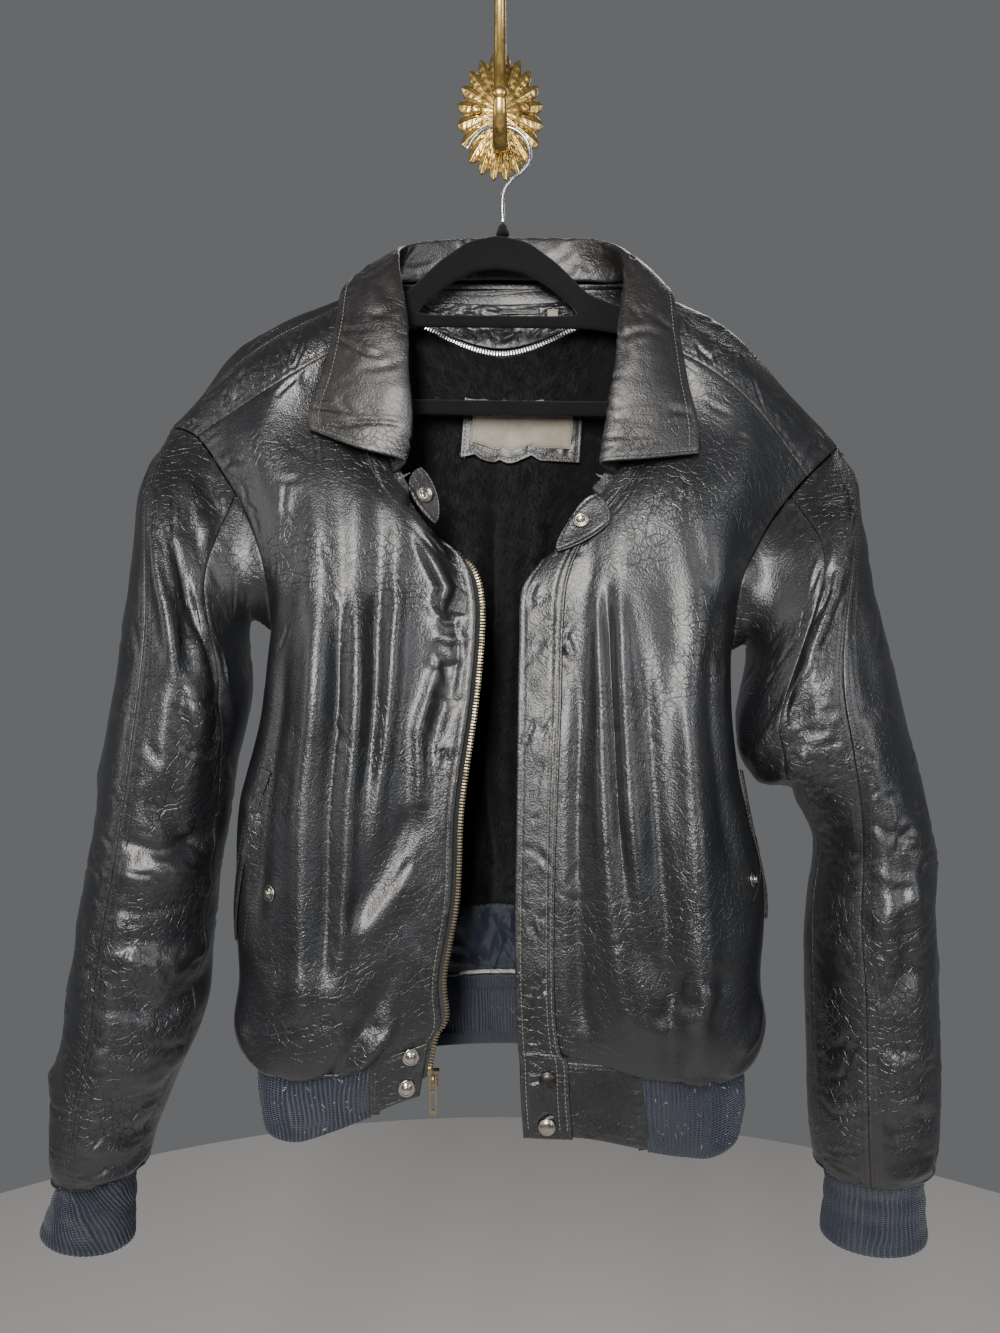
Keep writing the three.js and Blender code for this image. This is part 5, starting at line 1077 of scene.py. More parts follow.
SEEN_LEFT = [
    (((318, 470), (322, 560), (316, 660), (304, 780)), 2.0, 15),
    (((354, 465), (358, 560), (352, 650), (344, 760)), 1.6, 12),
    (((337, 470), (340, 560), (333, 680)), -1.2, 9),
    (((376, 475), (378, 560), (368, 680)), -1.6, 10),
    (((396, 480), (400, 530), (392, 610)), 1.8, 9),
    (((404, 500), (430, 545), (447, 588), (434, 610)), 3.0, 5.5),
    (((418, 500), (448, 548), (462, 580)), -2.2, 4),
    (((426, 606), (446, 622), (468, 618)), -1.8, 3),
    (((430, 634), (450, 640), (470, 636)), 1.8, 3.4),
    (((424, 660), (444, 668), (468, 662)), -1.8, 2.8),
    (((436, 650), (440, 680), (452, 712)), 1.4, 3),
    (((430, 690), (448, 704), (466, 700)), -1.5, 2.8),
    (((452, 604), (458, 650), (452, 700)), -1.3, 2.8),
    (((420, 720), (438, 745), (462, 750)), 1.2, 4),
    (((424, 800), (398, 840), (366, 900), (344, 940)), -2.6, 10),
    (((352, 946), (386, 908), (418, 868)), 2.2, 9),
    (((404, 900), (420, 940), (438, 965)), -1.6, 6),
    (((250, 1000), (300, 990), (372, 1004)), 1.6, 12),
    (((262, 1034), (330, 1022), (410, 1034)), -1.5, 6),
    (((298, 480), (290, 560), (282, 660)), -1.6, 8),
    (((286, 740), (276, 820), (262, 900)), -1.2, 8),
    (((248, 780), (252, 830), (240, 880)), 1.4, 5),
]
SEEN_RIGHT = [
    (((618, 480), (622, 600), (616, 760), (610, 920)), 2.2, 16),
    (((590, 520), (592, 640), (590, 780)), -1.2, 7),
    (((650, 700), (646, 780), (640, 880)), 1.2, 12),
    (((668, 520), (676, 640), (672, 780), (664, 900)), -2.4, 13),
    (((700, 560), (714, 680), (712, 800), (700, 940)), 2.2, 15),
    (((736, 620), (742, 720), (744, 820)), -1.6, 9),
    (((636, 930), (668, 985), (700, 1020)), -2.2, 9),
    (((717, 985), (706, 1010), (684, 1034)), 2.6, 8),
    (((728, 966), (718, 1000), (712, 1040)), -1.8, 6),
    (((690, 960), (672, 1000), (656, 1030)), -1.2, 6),
    (((612, 1010), (650, 1030), (700, 1044)), 1.2, 8),
    (((686, 500), (700, 560), (716, 600)), -1.4, 7),
]


def front_wear(u, v):
    return 0.12 + 0.88 * (u > 0.8) + 0.5 * (v < 0.2) + 0.6 * (v > 0.88) + 0.4 * (u < 0.1)


left_front = panel(
    "front_left", part(front_l, (0, 1), (0, HEM_SEAM)), -1, step=2.3, seen=SEEN_LEFT, seed=11,
    stitches=[("r", 5.5)], pucker=0.4, thread=pale_threads,
    extra=layered(scatter(190, 21, 22, 0.6, 2.1, 50, 0.9, front_wear), swell(48, 1.0, 3), swell(15, 0.16, 4)))
right_front = panel(
    "front_right", part(front_r, (0, 1), (0, HEM_SEAM)), 1, step=2.3, seen=SEEN_RIGHT, seed=12, pucker=0.4,
    extra=layered(scatter(160, 22, 22, 0.55, 2.1, 60, 0.9, front_wear), swell(48, 1.0, 5),
                  swell(15, 0.16, 6)))
panel(
    "back", part(back, (0, 1), (0, BACK_HEM)), 1, step=3.8, back=3, seed=13, pucker=0.35,
    folds=[([(0.15, 0.3), (0.3, 0.36), (0.5, 0.34)], -1.6, 9),
           ([(0.5, 0.42), (0.7, 0.4), (0.86, 0.32)], -1.6, 9),
           ([(0.12, 0.9), (0.4, 0.93), (0.7, 0.9)], 1.6, 8),
           ([(0.3, 0.86), (0.5, 0.88), (0.9, 0.87)], -1.6, 7)],
    extra=layered(scatter(170, 23, 34, 0.8, 2.6, 80, 0.8), swell(45, 1.0, 7), swell(17, 0.3, 8)))
for name, surface, outward, seed in (("yoke_left", yoke_l, -1, 14), ("yoke_right", yoke_r, 1, 15)):
    panel(name, surface, outward, step=1.9, seed=seed, gap=0.3, stitches=[("t", 4), ("b", 4)], pucker=0.6,
          extra=layered(scatter(46, seed + 20, 18, 0.9, 2.0, 70, 0.8), swell(20, 0.6, seed)))

SLEEVE_SEAMS = {"left": (0, 0.25, 0.5), "right": (0, 0.15, 0.5)}
SEEN_SLEEVE_LEFT = [
    (((180, 470), (200, 520), (226, 562)), 2.6, 7),
    (((196, 470), (222, 515), (246, 560)), -2.2, 6),
    (((214, 486), (236, 520), (256, 556)), 2.0, 5),
    (((176, 500), (172, 620), (167, 720), (158, 820)), 2.6, 9),
    (((187, 540), (185, 640), (180, 740)), -2.4, 7),
    (((202, 590), (199, 680), (192, 770), (184, 826)), 2.6, 9),
    (((218, 600), (222, 680), (210, 760)), -1.8, 7),
    (((112, 838), (160, 852), (212, 838)), -3.2, 7),
    (((110, 866), (150, 886), (204, 876)), 2.6, 8),
    (((100, 906), (140, 912), (208, 900)), -1.6, 6),
    (((122, 880), (112, 960), (104, 1060), (96, 1150)), 1.8, 8),
    (((150, 930), (140, 1010), (128, 1090)), -1.4, 7),
    (((92, 950), (140, 962), (206, 950)), 1.2, 5),
    (((84, 1000), (130, 1014), (190, 1008)), -1.2, 4),
    (((78, 1050), (118, 1062), (172, 1058)), 1.2, 5),
    (((70, 1100), (104, 1114), (146, 1110)), -1.2, 4),
    (((64, 1140), (98, 1150), (136, 1150)), 1.4, 5),
]
SEEN_SLEEVE_RIGHT = [
    (((772, 560), (786, 640), (790, 730)), -2.6, 8),
    (((752, 600), (760, 680), (768, 755)), 2.0, 8),
    (((806, 520), (812, 620), (818, 740)), 2.2, 9),
    (((846, 560), (866, 650), (880, 740)), -1.2, 8),
    (((872, 690), (876, 800), (886, 920), (890, 1060)), 2.2, 11),
    (((900, 800), (904, 900), (908, 1020)), -1.8, 7),
    (((918, 880), (918, 960), (918, 1080)), 1.6, 7),
    (((862, 812), (890, 834), (920, 832)), -1.4, 4),
    (((866, 866), (896, 882), (924, 880)), 1.2, 4),
    (((868, 924), (900, 936), (930, 926)), -1.2, 4),
    (((872, 1040), (904, 1052), (934, 1050)), -1.4, 5),
    (((874, 1090), (906, 1104), (932, 1100)), 1.6, 5),
    (((876, 1140), (900, 1150), (926, 1146)), -1.4, 4),
    (((822, 880), (842, 892), (864, 884)), -0.8, 4),
    (((816, 1040), (840, 1052), (866, 1046)), -1.4, 4),
    (((820, 1096), (840, 1108), (868, 1106)), 1.4, 4),
]
for side, surface, outward, seen in (("left", sleeve_l, -1, SEEN_SLEEVE_LEFT),
                                     ("right", sleeve_r, 1, SEEN_SLEEVE_RIGHT)):
    centre, under, hidden = SLEEVE_SEAMS[side]
    spans = (("front", centre, under, 130, [("l", 4), ("l", 8)], "t", seen),
             ("under", under, hidden, 80, [], "tlr", ()),
             ("outer", hidden, 1, 150, [("r", 4)], "t", seen))
    for name, first, last, count, lines, _, creases in spans:
        if side == "right" and name == "outer":
            lines = [("r", 4), ("r", 8)]
        if side == "right" and name == "front":
            lines = [("l", 4)]
        seed = 30 + len(name) + (5 if side == "left" else 0)
        panel("sleeve_%s_%s" % (side, name), part(surface, (first, last), (0, 1)), outward, step=2.6, gap=0.3,
              seen=creases, stitches=lines, seed=seed, pucker=0.45, look=LEATHER_SLEEVE,
              extra=layered(scatter(count, seed + 7, 24, 0.75, 2.2, 8, 0.5), swell(34, 0.9, seed),
                            swell(12, 0.22, seed + 1)))

panel(
    "collar", part(collar, (0.012, 0.988), (0.06, 1)), 1, step=2.3, thick=2.2, seed=41, look=LEATHER_COLLAR,
    thread=pale_threads, stitches=[("b", 5.5), ("l", 5.5), ("r", 5.5)],
    pucker=0.5, dips="t",
    extra=layered(scatter(120, 51, 26, 0.8, 2.2, 84, 0.6), swell(26, 0.7, 52), swell(10, 0.25, 53)))


def left_edge(t):
    return front_l(arr(1.0), arr(t)) + arr([1.6, -1, 1])


throat_left_surface = patch_free([left_edge(0.012), (-60, -98, -312), (-45, -100, -340), left_edge(0.09)])
throat_right_surface = patch_free([(52, -99, -354), (72, -97.5, -331), (88, -109.5, -361),
                                   (35, -107.5, -388)])
panel("throat_tab_left", throat_left_surface, -1, step=1.3, seed=43, stitches=[("l", 3), ("r", 3), ("t", 3)],
                    pucker=0.2, dips="", extra=swell(10, 0.4, 44))
panel("throat_tab_right", throat_right_surface, -1, step=1.3, seed=45,
                     stitches=[("l", 3), ("r", 3), ("t", 3), ("b", 3)], pucker=0.2, dips="",
                     extra=swell(12, 0.4, 46))
flap_surface = edge_strip(front_r, 1, -21, 15, 2.7, (0.155, 1))
panel("storm_flap", flap_surface, 1, step=1.4, seed=47, thread=pale_threads,
      stitches=[("l", 3), ("l", 8), ("r", 4)], pucker=0.75, dips="",
             extra=layered(scatter(60, 61, 16, 0.7, 1.8, 20, 0.8), swell(16, 0.5, 62)))

TAB_SHARE = 4 / 6
panel("hem_tab_left", part(front_l, (TAB_SHARE, 1), (HEM_SEAM, 1)), -1, step=1.3, seed=48,
                 stitches=[("l", 2.5), ("b", 4), ("t", 3)], pucker=0.4, extra=swell(14, 0.5, 63))
panel("hem_tab_right", part(front_r, (TAB_SHARE, 1), (HEM_SEAM, 1)), 1, step=1.4, seed=49,
                  stitches=[("l", 2.5), ("b", 4), ("t", 3)], pucker=0.4, extra=swell(14, 0.5, 64))


# Rib knit
RIB_PITCH = 4.1
RIB_RISE = 0.9


def waist_strip(u, v):
    u, v = np.broadcast_arrays(arr(u), arr(v))
    drop = 0.05 + 0.95 * v
    x = 750 * u
    end = TAB_SHARE
    left = front_l(end * (1 - np.clip(x / 140, 0, 1)), HEM_SEAM + 2 / 13 * drop)
    middle = back(np.clip((x - 140) / 470, 0, 1), BACK_HEM + 2 / 15 * drop)
    right = front_r(end * np.clip((x - 610) / 140, 0, 1), HEM_SEAM + 2 / 13 * drop)
    return np.where((x < 140)[..., None], left, np.where((x < 610)[..., None], middle, right))


class Rib(Cloth):
    """Rib knit: rounded columns with the knit's own stitches in its material."""

    def __init__(self, name, surface, outward, ribs, step=2.6, wrap=False, rise=RIB_RISE, wall=2.2, seed=1,
                 per=6, waves=()):
        self.name, self.outward, self.wrap = name, outward, wrap
        cols = ribs * per
        probe = surface(*np.meshgrid(np.linspace(0, 1, 65), np.linspace(0, 1, 9)))
        self.size = (float(lengths(probe, 1).mean()), float(lengths(probe, 0).mean()))
        self.longest = (float(lengths(probe, 1).max()), float(lengths(probe, 0).max()))
        rows = max(6, round(self.size[1] / step))
        inset = 0 if wrap else SEAM_GAP / self.size[0]
        u = np.arange(cols) / cols if wrap else np.linspace(inset, 1 - inset, cols + 1)
        v = np.linspace(0.7 / self.size[1], 1, rows + 1)
        self.u, self.v = np.meshgrid(u, v)
        base = surface(self.u, self.v)
        normal = self.normal_of(base)
        self.x, self.y = self.u * ribs * RIB_PITCH, self.v * self.size[1]
        drift = 0.7 * noise(np.stack([self.u * ribs / 5, self.v * 1.6, 0 * self.u], axis=-1), seed)
        wave = np.cos(2 * math.pi * (self.u * ribs + drift * smooth(self.v * 4) * smooth(4 - 4 * self.v)))
        shape = np.sign(wave) * np.abs(wave) ** 0.7
        edge = smooth(self.y / 4) * smooth((self.size[1] - self.y) / 5)
        width = 1 + 0.22 * noise(np.stack([self.u * ribs / 3, 0 * self.u, self.v * 0.7], axis=-1), seed + 2)
        rise_ = rise * (shape * width) * (0.4 + 0.6 * edge) - rise * 0.3
        rise_ += 0.9 * noise(base / 26, seed + 3) * edge + 0.35 * noise(base / 9, seed + 4) * edge
        for centre, high, wide in waves:
            rise_ += high * np.exp(-(((self.v - centre) / wide) ** 2))
        rise_ -= 0.5 * np.exp(-((self.y / 2.0) ** 2))
        self.base, self.base_n = base, normal
        self.p = base + normal * rise_[..., None]
        self.n = self.normal_of(self.p)
        self.worn = np.clip(shape, 0, 1)
        self.thick, self.turned, self.back, self.lines = wall, "tb" if wrap else "lrtb", 9.0, []


waist = Rib("waist_rib_cloth", waist_strip, 1, 182, seed=71)
waist.build(KNIT, replaces=("waist_rib",), slot="navy_knit", held="gathered")
CUFF_RIBS = 56
for name, surface, outward, seed in (("cuff_left", cuff_l, -1, 72), ("cuff_right", cuff_r, -1, 73)):
    cuff = Rib(name + "_cloth", surface, outward, CUFF_RIBS, wrap=True, seed=seed,
               waves=((0.33, -1.2, 0.08), (0.62, -0.9, 0.07)))
    cuff.build(KNIT, replaces=(name,), slot="navy_knit", held="gathered")

lint = Soup()
rng = np.random.default_rng(5)
for cloth, count in ((waist, 260),):
    for _ in range(count):
        p, n = cloth.at(rng.random() * 0.98 + 0.01, rng.random() * 0.9 + 0.05, 0.25)
        d = unit(np.cross(n, unit(rng.normal(size=3))))
        s = np.cross(n, d)
        long, thin = rng.uniform(0.4, 1.8), rng.uniform(0.12, 0.3)
        lint.add([p - d * long - s * thin, p - d * long + s * thin, p + d * long + s * thin + n * 0.2,
                  p + d * long - s * thin + n * 0.2], [(0, 1, 2, 3)])
lint_piece = lint.make("lint")
lint_piece.data.materials.append(cloth_look("lint_fibre", (0.25, 0.27, 0.3), (0.4, 0.4, 0.4), 0.9, 900.0,
                                            0.0001).m)
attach(lint_piece, "coat")


# Linings
SHELL_BACK = 1.8
FACING_TOP = 0.1
PILE_END = 0.655
NYLON_END = 0.773
ZIP_TALL = 0.0055
NECK_SPAN = (5 / 12, 7 / 12)
LINING_SPAN = (1 / 12, 11 / 12)
ON_PILE = 3 + 1 + 1.2
ON_FRAME = ON_PILE + 0.5 + 1.0
FACING_LIFT = 0.3 + 1.2
ON_FACING = FACING_LIFT + 0.75 + 1.0


def inside(span, top, bottom, extra):
    """A sheet on the inner face of the back, seen from the front."""
    def read(u, v):
        u, v = np.broadcast_arrays(arr(u), arr(v))
        s = span[0] + (span[1] - span[0]) * u
        t = top(s) + (bottom(s) - top(s)) * v
        lift = SHELL_BACK + 0.5 + 4.5 * smooth((t - FACING_TOP) / 0.06) + extra
        return back(s, t) - normals(back, s, t, 1) * lift[..., None]

    return read


def zip_line(below):
    return lambda s: 0.1355 + below + 0.019 * np.maximum(0, 1 - (12 * (s - 0.5)) ** 2)


def level(value):
    return lambda s: 0 * s + value


def place_at(surface, x, z, s, t):
    step = 0.002
    s, t = np.full(x.shape, float(s)), np.full(x.shape, float(t))
    for _ in range(12):
        here = surface(s, t)
        ds, dt = surface(s + step, t) - here, surface(s, t + step) - here
        det = (ds[..., 0] * dt[..., 2] - dt[..., 0] * ds[..., 2]) / step
        ex, ez = x - here[..., 0], z - here[..., 2]
        s, t = (np.clip(s + (ex * dt[..., 2] - dt[..., 0] * ez) / det, 0, 1),
                np.clip(t + (ds[..., 0] * ez - ex * ds[..., 2]) / det, 0, 1))
    return s, t


def patch_on(surface, corners, start):
    """A four-sided patch on a surface, its corners given as x and z."""
    a, b, c, d = arr(corners)
    cells = 6
    u, v = np.meshgrid(np.linspace(0, 1, cells + 1), np.linspace(0, 1, cells + 1))
    u1, v1 = u[..., None], v[..., None]
    place = (a * (1 - u1) + b * u1) * (1 - v1) + (d * (1 - u1) + c * u1) * v1
    shares = np.stack(place_at(surface, place[..., 0], place[..., 1], *start), axis=-1)

    def read(u, v):
        u, v = np.broadcast_arrays(arr(u), arr(v))
        x, y = np.clip(u, 0, 1) * cells, np.clip(v, 0, 1) * cells
        j, i = np.clip(np.floor(x).astype(int), 0, cells - 1), np.clip(np.floor(y).astype(int), 0, cells - 1)
        fx, fy = (x - j)[..., None], (y - i)[..., None]
        place = ((shares[i, j] * (1 - fx) + shares[i, j + 1] * fx) * (1 - fy)
                 + (shares[i + 1, j] * (1 - fx) + shares[i + 1, j + 1] * fx) * fy)
        return surface(place[..., 0], place[..., 1])

    return read


def facing(extra):
    return inside(NECK_SPAN, level(FACING_TOP), zip_line(0), extra)


def pile_surface(extra):
    return inside(LINING_SPAN, zip_line(ZIP_TALL), level(PILE_END), extra)


neck = Cloth("neck_facing_cloth", facing(FACING_LIFT), -1, step=1.5, thick=1.0, gap=0.8, dips="tb",
             pucker=0.5, back=3, seed=81,
             extra=layered(scatter(70, 82, 30, 0.8, 1.7, 4, 0.35), swell(14, 0.7, 83), swell(6, 0.25, 84)))
neck.build(LEATHER_SOFT, replaces=("neck_facing",), rests=["back"])
liner_tape = Cloth("liner_zip_tape_cloth", inside(NECK_SPAN, zip_line(0), zip_line(ZIP_TALL), 1.2), -1,
                   step=1.0, thick=1.0,
                   gap=0.8, dips="", back=1, seed=85)
liner_tape.build(TAPE, replaces=("liner_zip_tape",), slot="black_tape", rests=["back"])
pile = Cloth("pile_lining_cloth", pile_surface(1.4), -1, step=5.0, thick=1.0, dips="tb", back=5, seed=86,
             extra=layered(swell(30, 0.8, 87), swell(11, 0.4, 88)))
pile.build(PILE_LOOK, replaces=("pile_lining",), slot="black_pile", rests=["back"])
nylon = Cloth("nylon_hem_lining_cloth", inside(LINING_SPAN, level(PILE_END), level(NYLON_END), 1.2), -1,
              step=2.0, thick=1.0,
              dips="tb", back=5, seed=89, pucker=0.6,
              extra=layered(scatter(110, 90, 40, 2.0, 4.0, 80, 0.4), scatter(50, 92, 44, 1.2, 3.4, 20, 0.5),
                            swell(26, 1.4, 91)))
nylon.build(NYLON, replaces=("nylon_hem_lining",), slot="navy_nylon", rests=["back"])


def fur(cloth, count, seed, length, width):
    """Blades of pile that hang down the lining, in clumps; closest where the open front shows them."""
    rng = np.random.default_rng(seed)
    where = rng.random(count)
    u = 0.5 + np.where(where < 0.62, rng.uniform(-0.17, 0.17, count),
                       np.where(where < 0.86, rng.uniform(-0.32, 0.32, count), rng.uniform(-0.5, 0.5, count)))
    v = rng.random(count)
    root, n = cloth.at(np.clip(u, 0.005, 0.995), np.clip(v, 0.004, 0.985))
    below, _ = cloth.at(np.clip(u, 0.005, 0.995), np.clip(v + 0.01, 0, 1))
    down = unit(below - root)
    side = np.cross(n, down)
    clump = noise(root / 9, seed)[:, None] * 0.8 + noise(root / 4, seed + 1)[:, None] * 0.5
    clump = clump + rng.normal(size=(count, 1)) * 0.25
    lift = 0.30 + 0.22 * noise(root / 6, seed + 2)[:, None] + rng.normal(size=(count, 1)) * 0.08
    long = length * rng.uniform(0.65, 1.25, (count, 1))
    head = unit(down + side * clump * 0.8 + n * np.clip(lift, 0.05, 0.7))
    bent = unit(head + down * 0.4 - n * 0.25)
    mid = root + head * long * 0.5
    tip = mid + bent * long * 0.5
    wide = np.cross(n, head) * width / 2
    verts = np.stack([root - wide, root + wide, mid + wide * 0.8, mid - wide * 0.8, tip], axis=1)
    faces = np.asarray([(0, 1, 2), (0, 2, 3), (3, 2, 4)])
    soup = Soup()
    soup.add(verts, (faces[None] + (np.arange(count) * 5)[:, None, None]).reshape(-1, 3))
    obj = soup.make("pile_blades")
    attribute(obj, "worn", np.repeat(rng.random(count), 5))
    return obj


blades = fur(pile, 31000, 93, 7.0, 0.75)
hair = Look("pile_fibre", (0.004, 0.004, 0.0045), 0.6, Specular_IOR_Level=0.14)
hair.into("Base Color", hair.mix(hair.attribute("worn"), (0.001, 0.001, 0.0012), (0.004, 0.004, 0.0044)))
blades.data.materials.append(hair.m)
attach(blades, "coat")

frame_patch = Cloth("patch_frame_cloth", patch_on(pile_surface(ON_PILE),
                                                  [(-29, -246), (69, -250), (66, -300), (-33, -296)],
                                                  (0.5, 0.1)),
                    -1, step=1.4, thick=1.2, dips="", back=3, seed=94,
                    stitches=[("l", 3), ("r", 3), ("t", 3), ("b", 3)],
                    extra=layered(scatter(16, 95, 16, 0.5, 1.8, 30, 1.0), swell(16, 0.7, 96)))
frame_patch.build(LEATHER_PATCH, replaces=("patch_frame",), rests=["pile_lining_cloth"])
field = Cloth("patch_field_cloth",
              patch_on(pile_surface(ON_FRAME), [(-22, -259), (60, -262), (58, -289), (-25, -286)],
                       (0.5, 0.1)),
              -1, step=1.0, thick=1.0, dips="", back=2, seed=97,
              stitches=[("l", 1.5), ("r", 1.5), ("t", 1.5), ("b", 1.5)],
              extra=swell(16, 0.7, 96))
field.build(CREAM, replaces=("patch_field",), slot="cream_cloth", rests=["patch_frame_cloth"])
for side, offset in frame_patch.lines:
    sew(frame_patch.side_line(side, offset, 0.04, 0.96), into=threads)
for side, offset in field.lines:
    sew(field.side_line(side, offset, 0.02, 0.98), 2.4, 1.9, 0.25)

TRIM = [("hanging_loop", [(2, -171), (33, -171), (33, -176), (2, -176)], LEATHER_SOFT, "black_leather"),
        ("neck_tab_left", [(8, -177), (18, -177), (18, -187), (8, -187)], CREAM, "cream_cloth"),
        ("neck_tab_right", [(39, -172), (48, -172), (48, -183), (39, -183)], CREAM, "cream_cloth")]
for name, corners, look, slot in TRIM:
    tab = Cloth(name + "_cloth", patch_on(facing(ON_FACING), corners, (0.5, 0.3)), -1, step=0.8, thick=0.8,
                dips="",
                back=1, seed=98, turned="lrtb")
    tab.build(look, replaces=(name,), slot=slot, rests=["neck_facing_cloth"])
    sew(tab.side_line("t", 1.2, 0.08, 0.92), 2.2, 1.7, 0.22)


# Pockets
WELT_LEFT = [(0.235, 0.43), (0.275, 0.434), (0.15, 0.578), (0.11, 0.576)]
WELT_RIGHT = [(0.13, 0.43), (0.17, 0.428), (0.14, 0.558), (0.1, 0.56)]
for side, surface, outward, corners, seed in (("left", front_l, -1, WELT_LEFT, 101),
                                              ("right", front_r, 1, WELT_RIGHT, 102)):
    panel("pocket_welt_" + side, patch_shares(surface, outward, corners, 1.9), outward, step=1.2, thick=1.4,
          seed=seed,
          dips="", stitches=[("l", 1.6), ("r", 1.6)], pucker=0.3, rests=["front_%s_cloth" % side],
          extra=layered(scatter(26, seed + 3, 10, 0.5, 1.5, 20, 0.7), swell(12, 0.5, seed)))

for cloth, outer, inner in ((left_front, ((262, 760), (246, 830), (232, 890), (226, 945)),
                             ((282, 775), (266, 835), (252, 885), (244, 945))),
                            (right_front, ((742, 770), (748, 830), (752, 900)),
                             ((758, 765), (766, 830), (770, 880)))):
    for path in (outer, inner):
        spots = [cloth.place(*spot) for spot in path]
        k = np.linspace(0, 1, 90)
        knots = np.linspace(0, 1, len(spots))
        u = np.interp(k, knots, [s[0] for s in spots])
        v = np.interp(k, knots, [s[1] for s in spots])
        sew(cloth.at(u, v, 0.05))


# Zips
def teeth(line, pitch, across, tall, into, reach=1.0):
    """Pressed metal teeth along a line of points with normals; across is their size over the tape's edge."""
    placed = resample(line[0], line[1], pitch)
    p, n, d = placed
    side = np.cross(n, d) * reach
    block = []
    for a, scale in ((-0.55, 0.55), (0.1, 0.8), (0.5, 0.62)):
        for b, c in ((-1, -1), (1, -1), (1, 1), (-1, 1)):
            block.append(p + side * a * across + d * b * 0.31 * pitch * scale + n * c * tall / 2 * scale)
    verts = np.stack(block, axis=1)
    faces = [(3, 2, 1, 0), (8, 9, 10, 11)]
    for ring in (0, 4):
        for k in range(4):
            a, b = ring + k, ring + (k + 1) % 4
            faces.append((a, b, b + 4, a + 4))
    faces = np.asarray(faces)
    into.add(verts, (faces[None] + (np.arange(len(p)) * 12)[:, None, None]).reshape(-1, 4))


brass_teeth, silver_teeth = Soup(), Soup()
for side, surface, outward, span in (("left", front_l, -1, (0.1, 0.95)), ("right", front_r, 1, (0.1, 0.93))):
    strip = edge_strip(surface, outward, -9, 6, -2.7, span)
    tape = Cloth("zip_tape_%s_cloth" % side, strip, outward, step=2.0, thick=1.0, dips="", back=1, seed=103,
                 pucker=0.2)
    tape.build(TAPE, replaces=("zip_tape_" + side,), slot="black_tape", rests=["front_%s_cloth" % side])
    k = np.linspace(0.01, 0.995, 500)
    ends = tape.at(np.full(500, 0.985), k, -0.4)
    teeth(ends, 2.3, 3.6, 2.6, brass_teeth, -outward)
zip_points = liner_tape.at(np.linspace(0.01, 0.99, 300), np.full(300, 0.5), 0.5)
teeth(zip_points, 2.3, 3.2, 1.6, silver_teeth)
for soup, name, look in ((brass_teeth, "main_zip_teeth", BRASS_ZIP),
                         (silver_teeth, "liner_zip_teeth", SILVER)):
    piece = soup.make(name, False)
    piece.data.materials.append(look)
    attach(piece, "coat")


# Snaps and screws
def turned(name, rings, point, normal, look, node, body="coat", around=40, slot=None, cut=None):
    """A turned piece: rings of (radius, height) from the rim in; cut(x, y, height) can lower its face."""
    z = unit(arr(normal))
    x = unit(np.cross(arr([0.0, 0.0, 1.0]), z))
    y = np.cross(z, x)
    verts = []
    for radius, height in rings:
        for k in range(around):
            a = 2 * math.pi * k / around
            px, py = radius * math.cos(a), radius * math.sin(a)
            high = cut(px, py, height) if cut else height
            verts.append(arr(point) + x * px + y * py + z * high)
    obj = new_object(name, verts, grid_faces(len(rings), around, False, True))
    obj.data.materials.append(look)
    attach(obj, body)
    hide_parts(node)
    return obj


def rounded(profile, steps=4):
    """The same profile with its corners cut round by repeated trimming."""
    pts = [arr(p) for p in profile]
    for _ in range(steps):
        out = [pts[0]]
        for a, b in zip(pts, pts[1:]):
            out += [a * 0.75 + b * 0.25, a * 0.25 + b * 0.75]
        pts = out + [pts[-1]]
    return [(float(p[0]), float(p[1])) for p in pts]


CAP = rounded([(6.2, 0), (6.4, 0.9), (5.8, 1.5), (5.2, 1.3), (4.6, 2.0), (2.6, 2.6), (0.01, 2.7)], 2)
SOCKET = rounded([(6.2, 0), (6.4, 0.9), (5.6, 1.7), (5.0, 1.6), (4.7, 2.3), (3.4, 2.4), (2.9, 1.9),
                  (2.4, 0.8), (0.01, 0.7)], 2)
STUD = rounded([(6.2, 0), (6.4, 0.7), (5.7, 1.1), (4.2, 0.9), (3.6, 1.3), (2.5, 1.7), (2.4, 2.4), (2.9, 3.0),
                (2.3, 3.6), (0.01, 3.7)], 2)
LIE_GAP = 0.5


def snap(name, rings, surface, outward, s, t, lift, look=NICKEL):
    s, t = arr([s]), arr([t])
    n = normals(surface, s, t, outward)[0]
    return turned(name + "_metal", rings, surface(s, t)[0] + n * lift, n, look, name, slot="snap_nickel")


snap("snap_pocket_left", STUD, front_l, -1, 0.321, 0.528, -0.1)
snap("snap_pocket_right", STUD, front_r, 1, 0.222, 0.518, -0.1)
snap("snap_hem_left_top", STUD, front_l, -1, 0.91, 0.87, 1)
snap("snap_hem_left_low", STUD, front_l, -1, 0.91, 0.955, 1)
snap("snap_flap_top", CAP, flap_surface, 1, 0.44, 0.862, 1, DARK_NICKEL)
snap("snap_flap_low", CAP, flap_surface, 1, 0.5, 0.968, 1)
snap("snap_throat_left", SOCKET, throat_left_surface, -1, 0.5, 0.5, LIE_GAP)
snap("snap_throat_right", SOCKET, throat_right_surface, -1, 0.45, 0.42, LIE_GAP)

for node in ("zip_slider", "zip_pull"):
    metal = bpy.data.objects[node]
    for slot_ in metal.material_slots:
        slot_.material = BRASS_ZIP


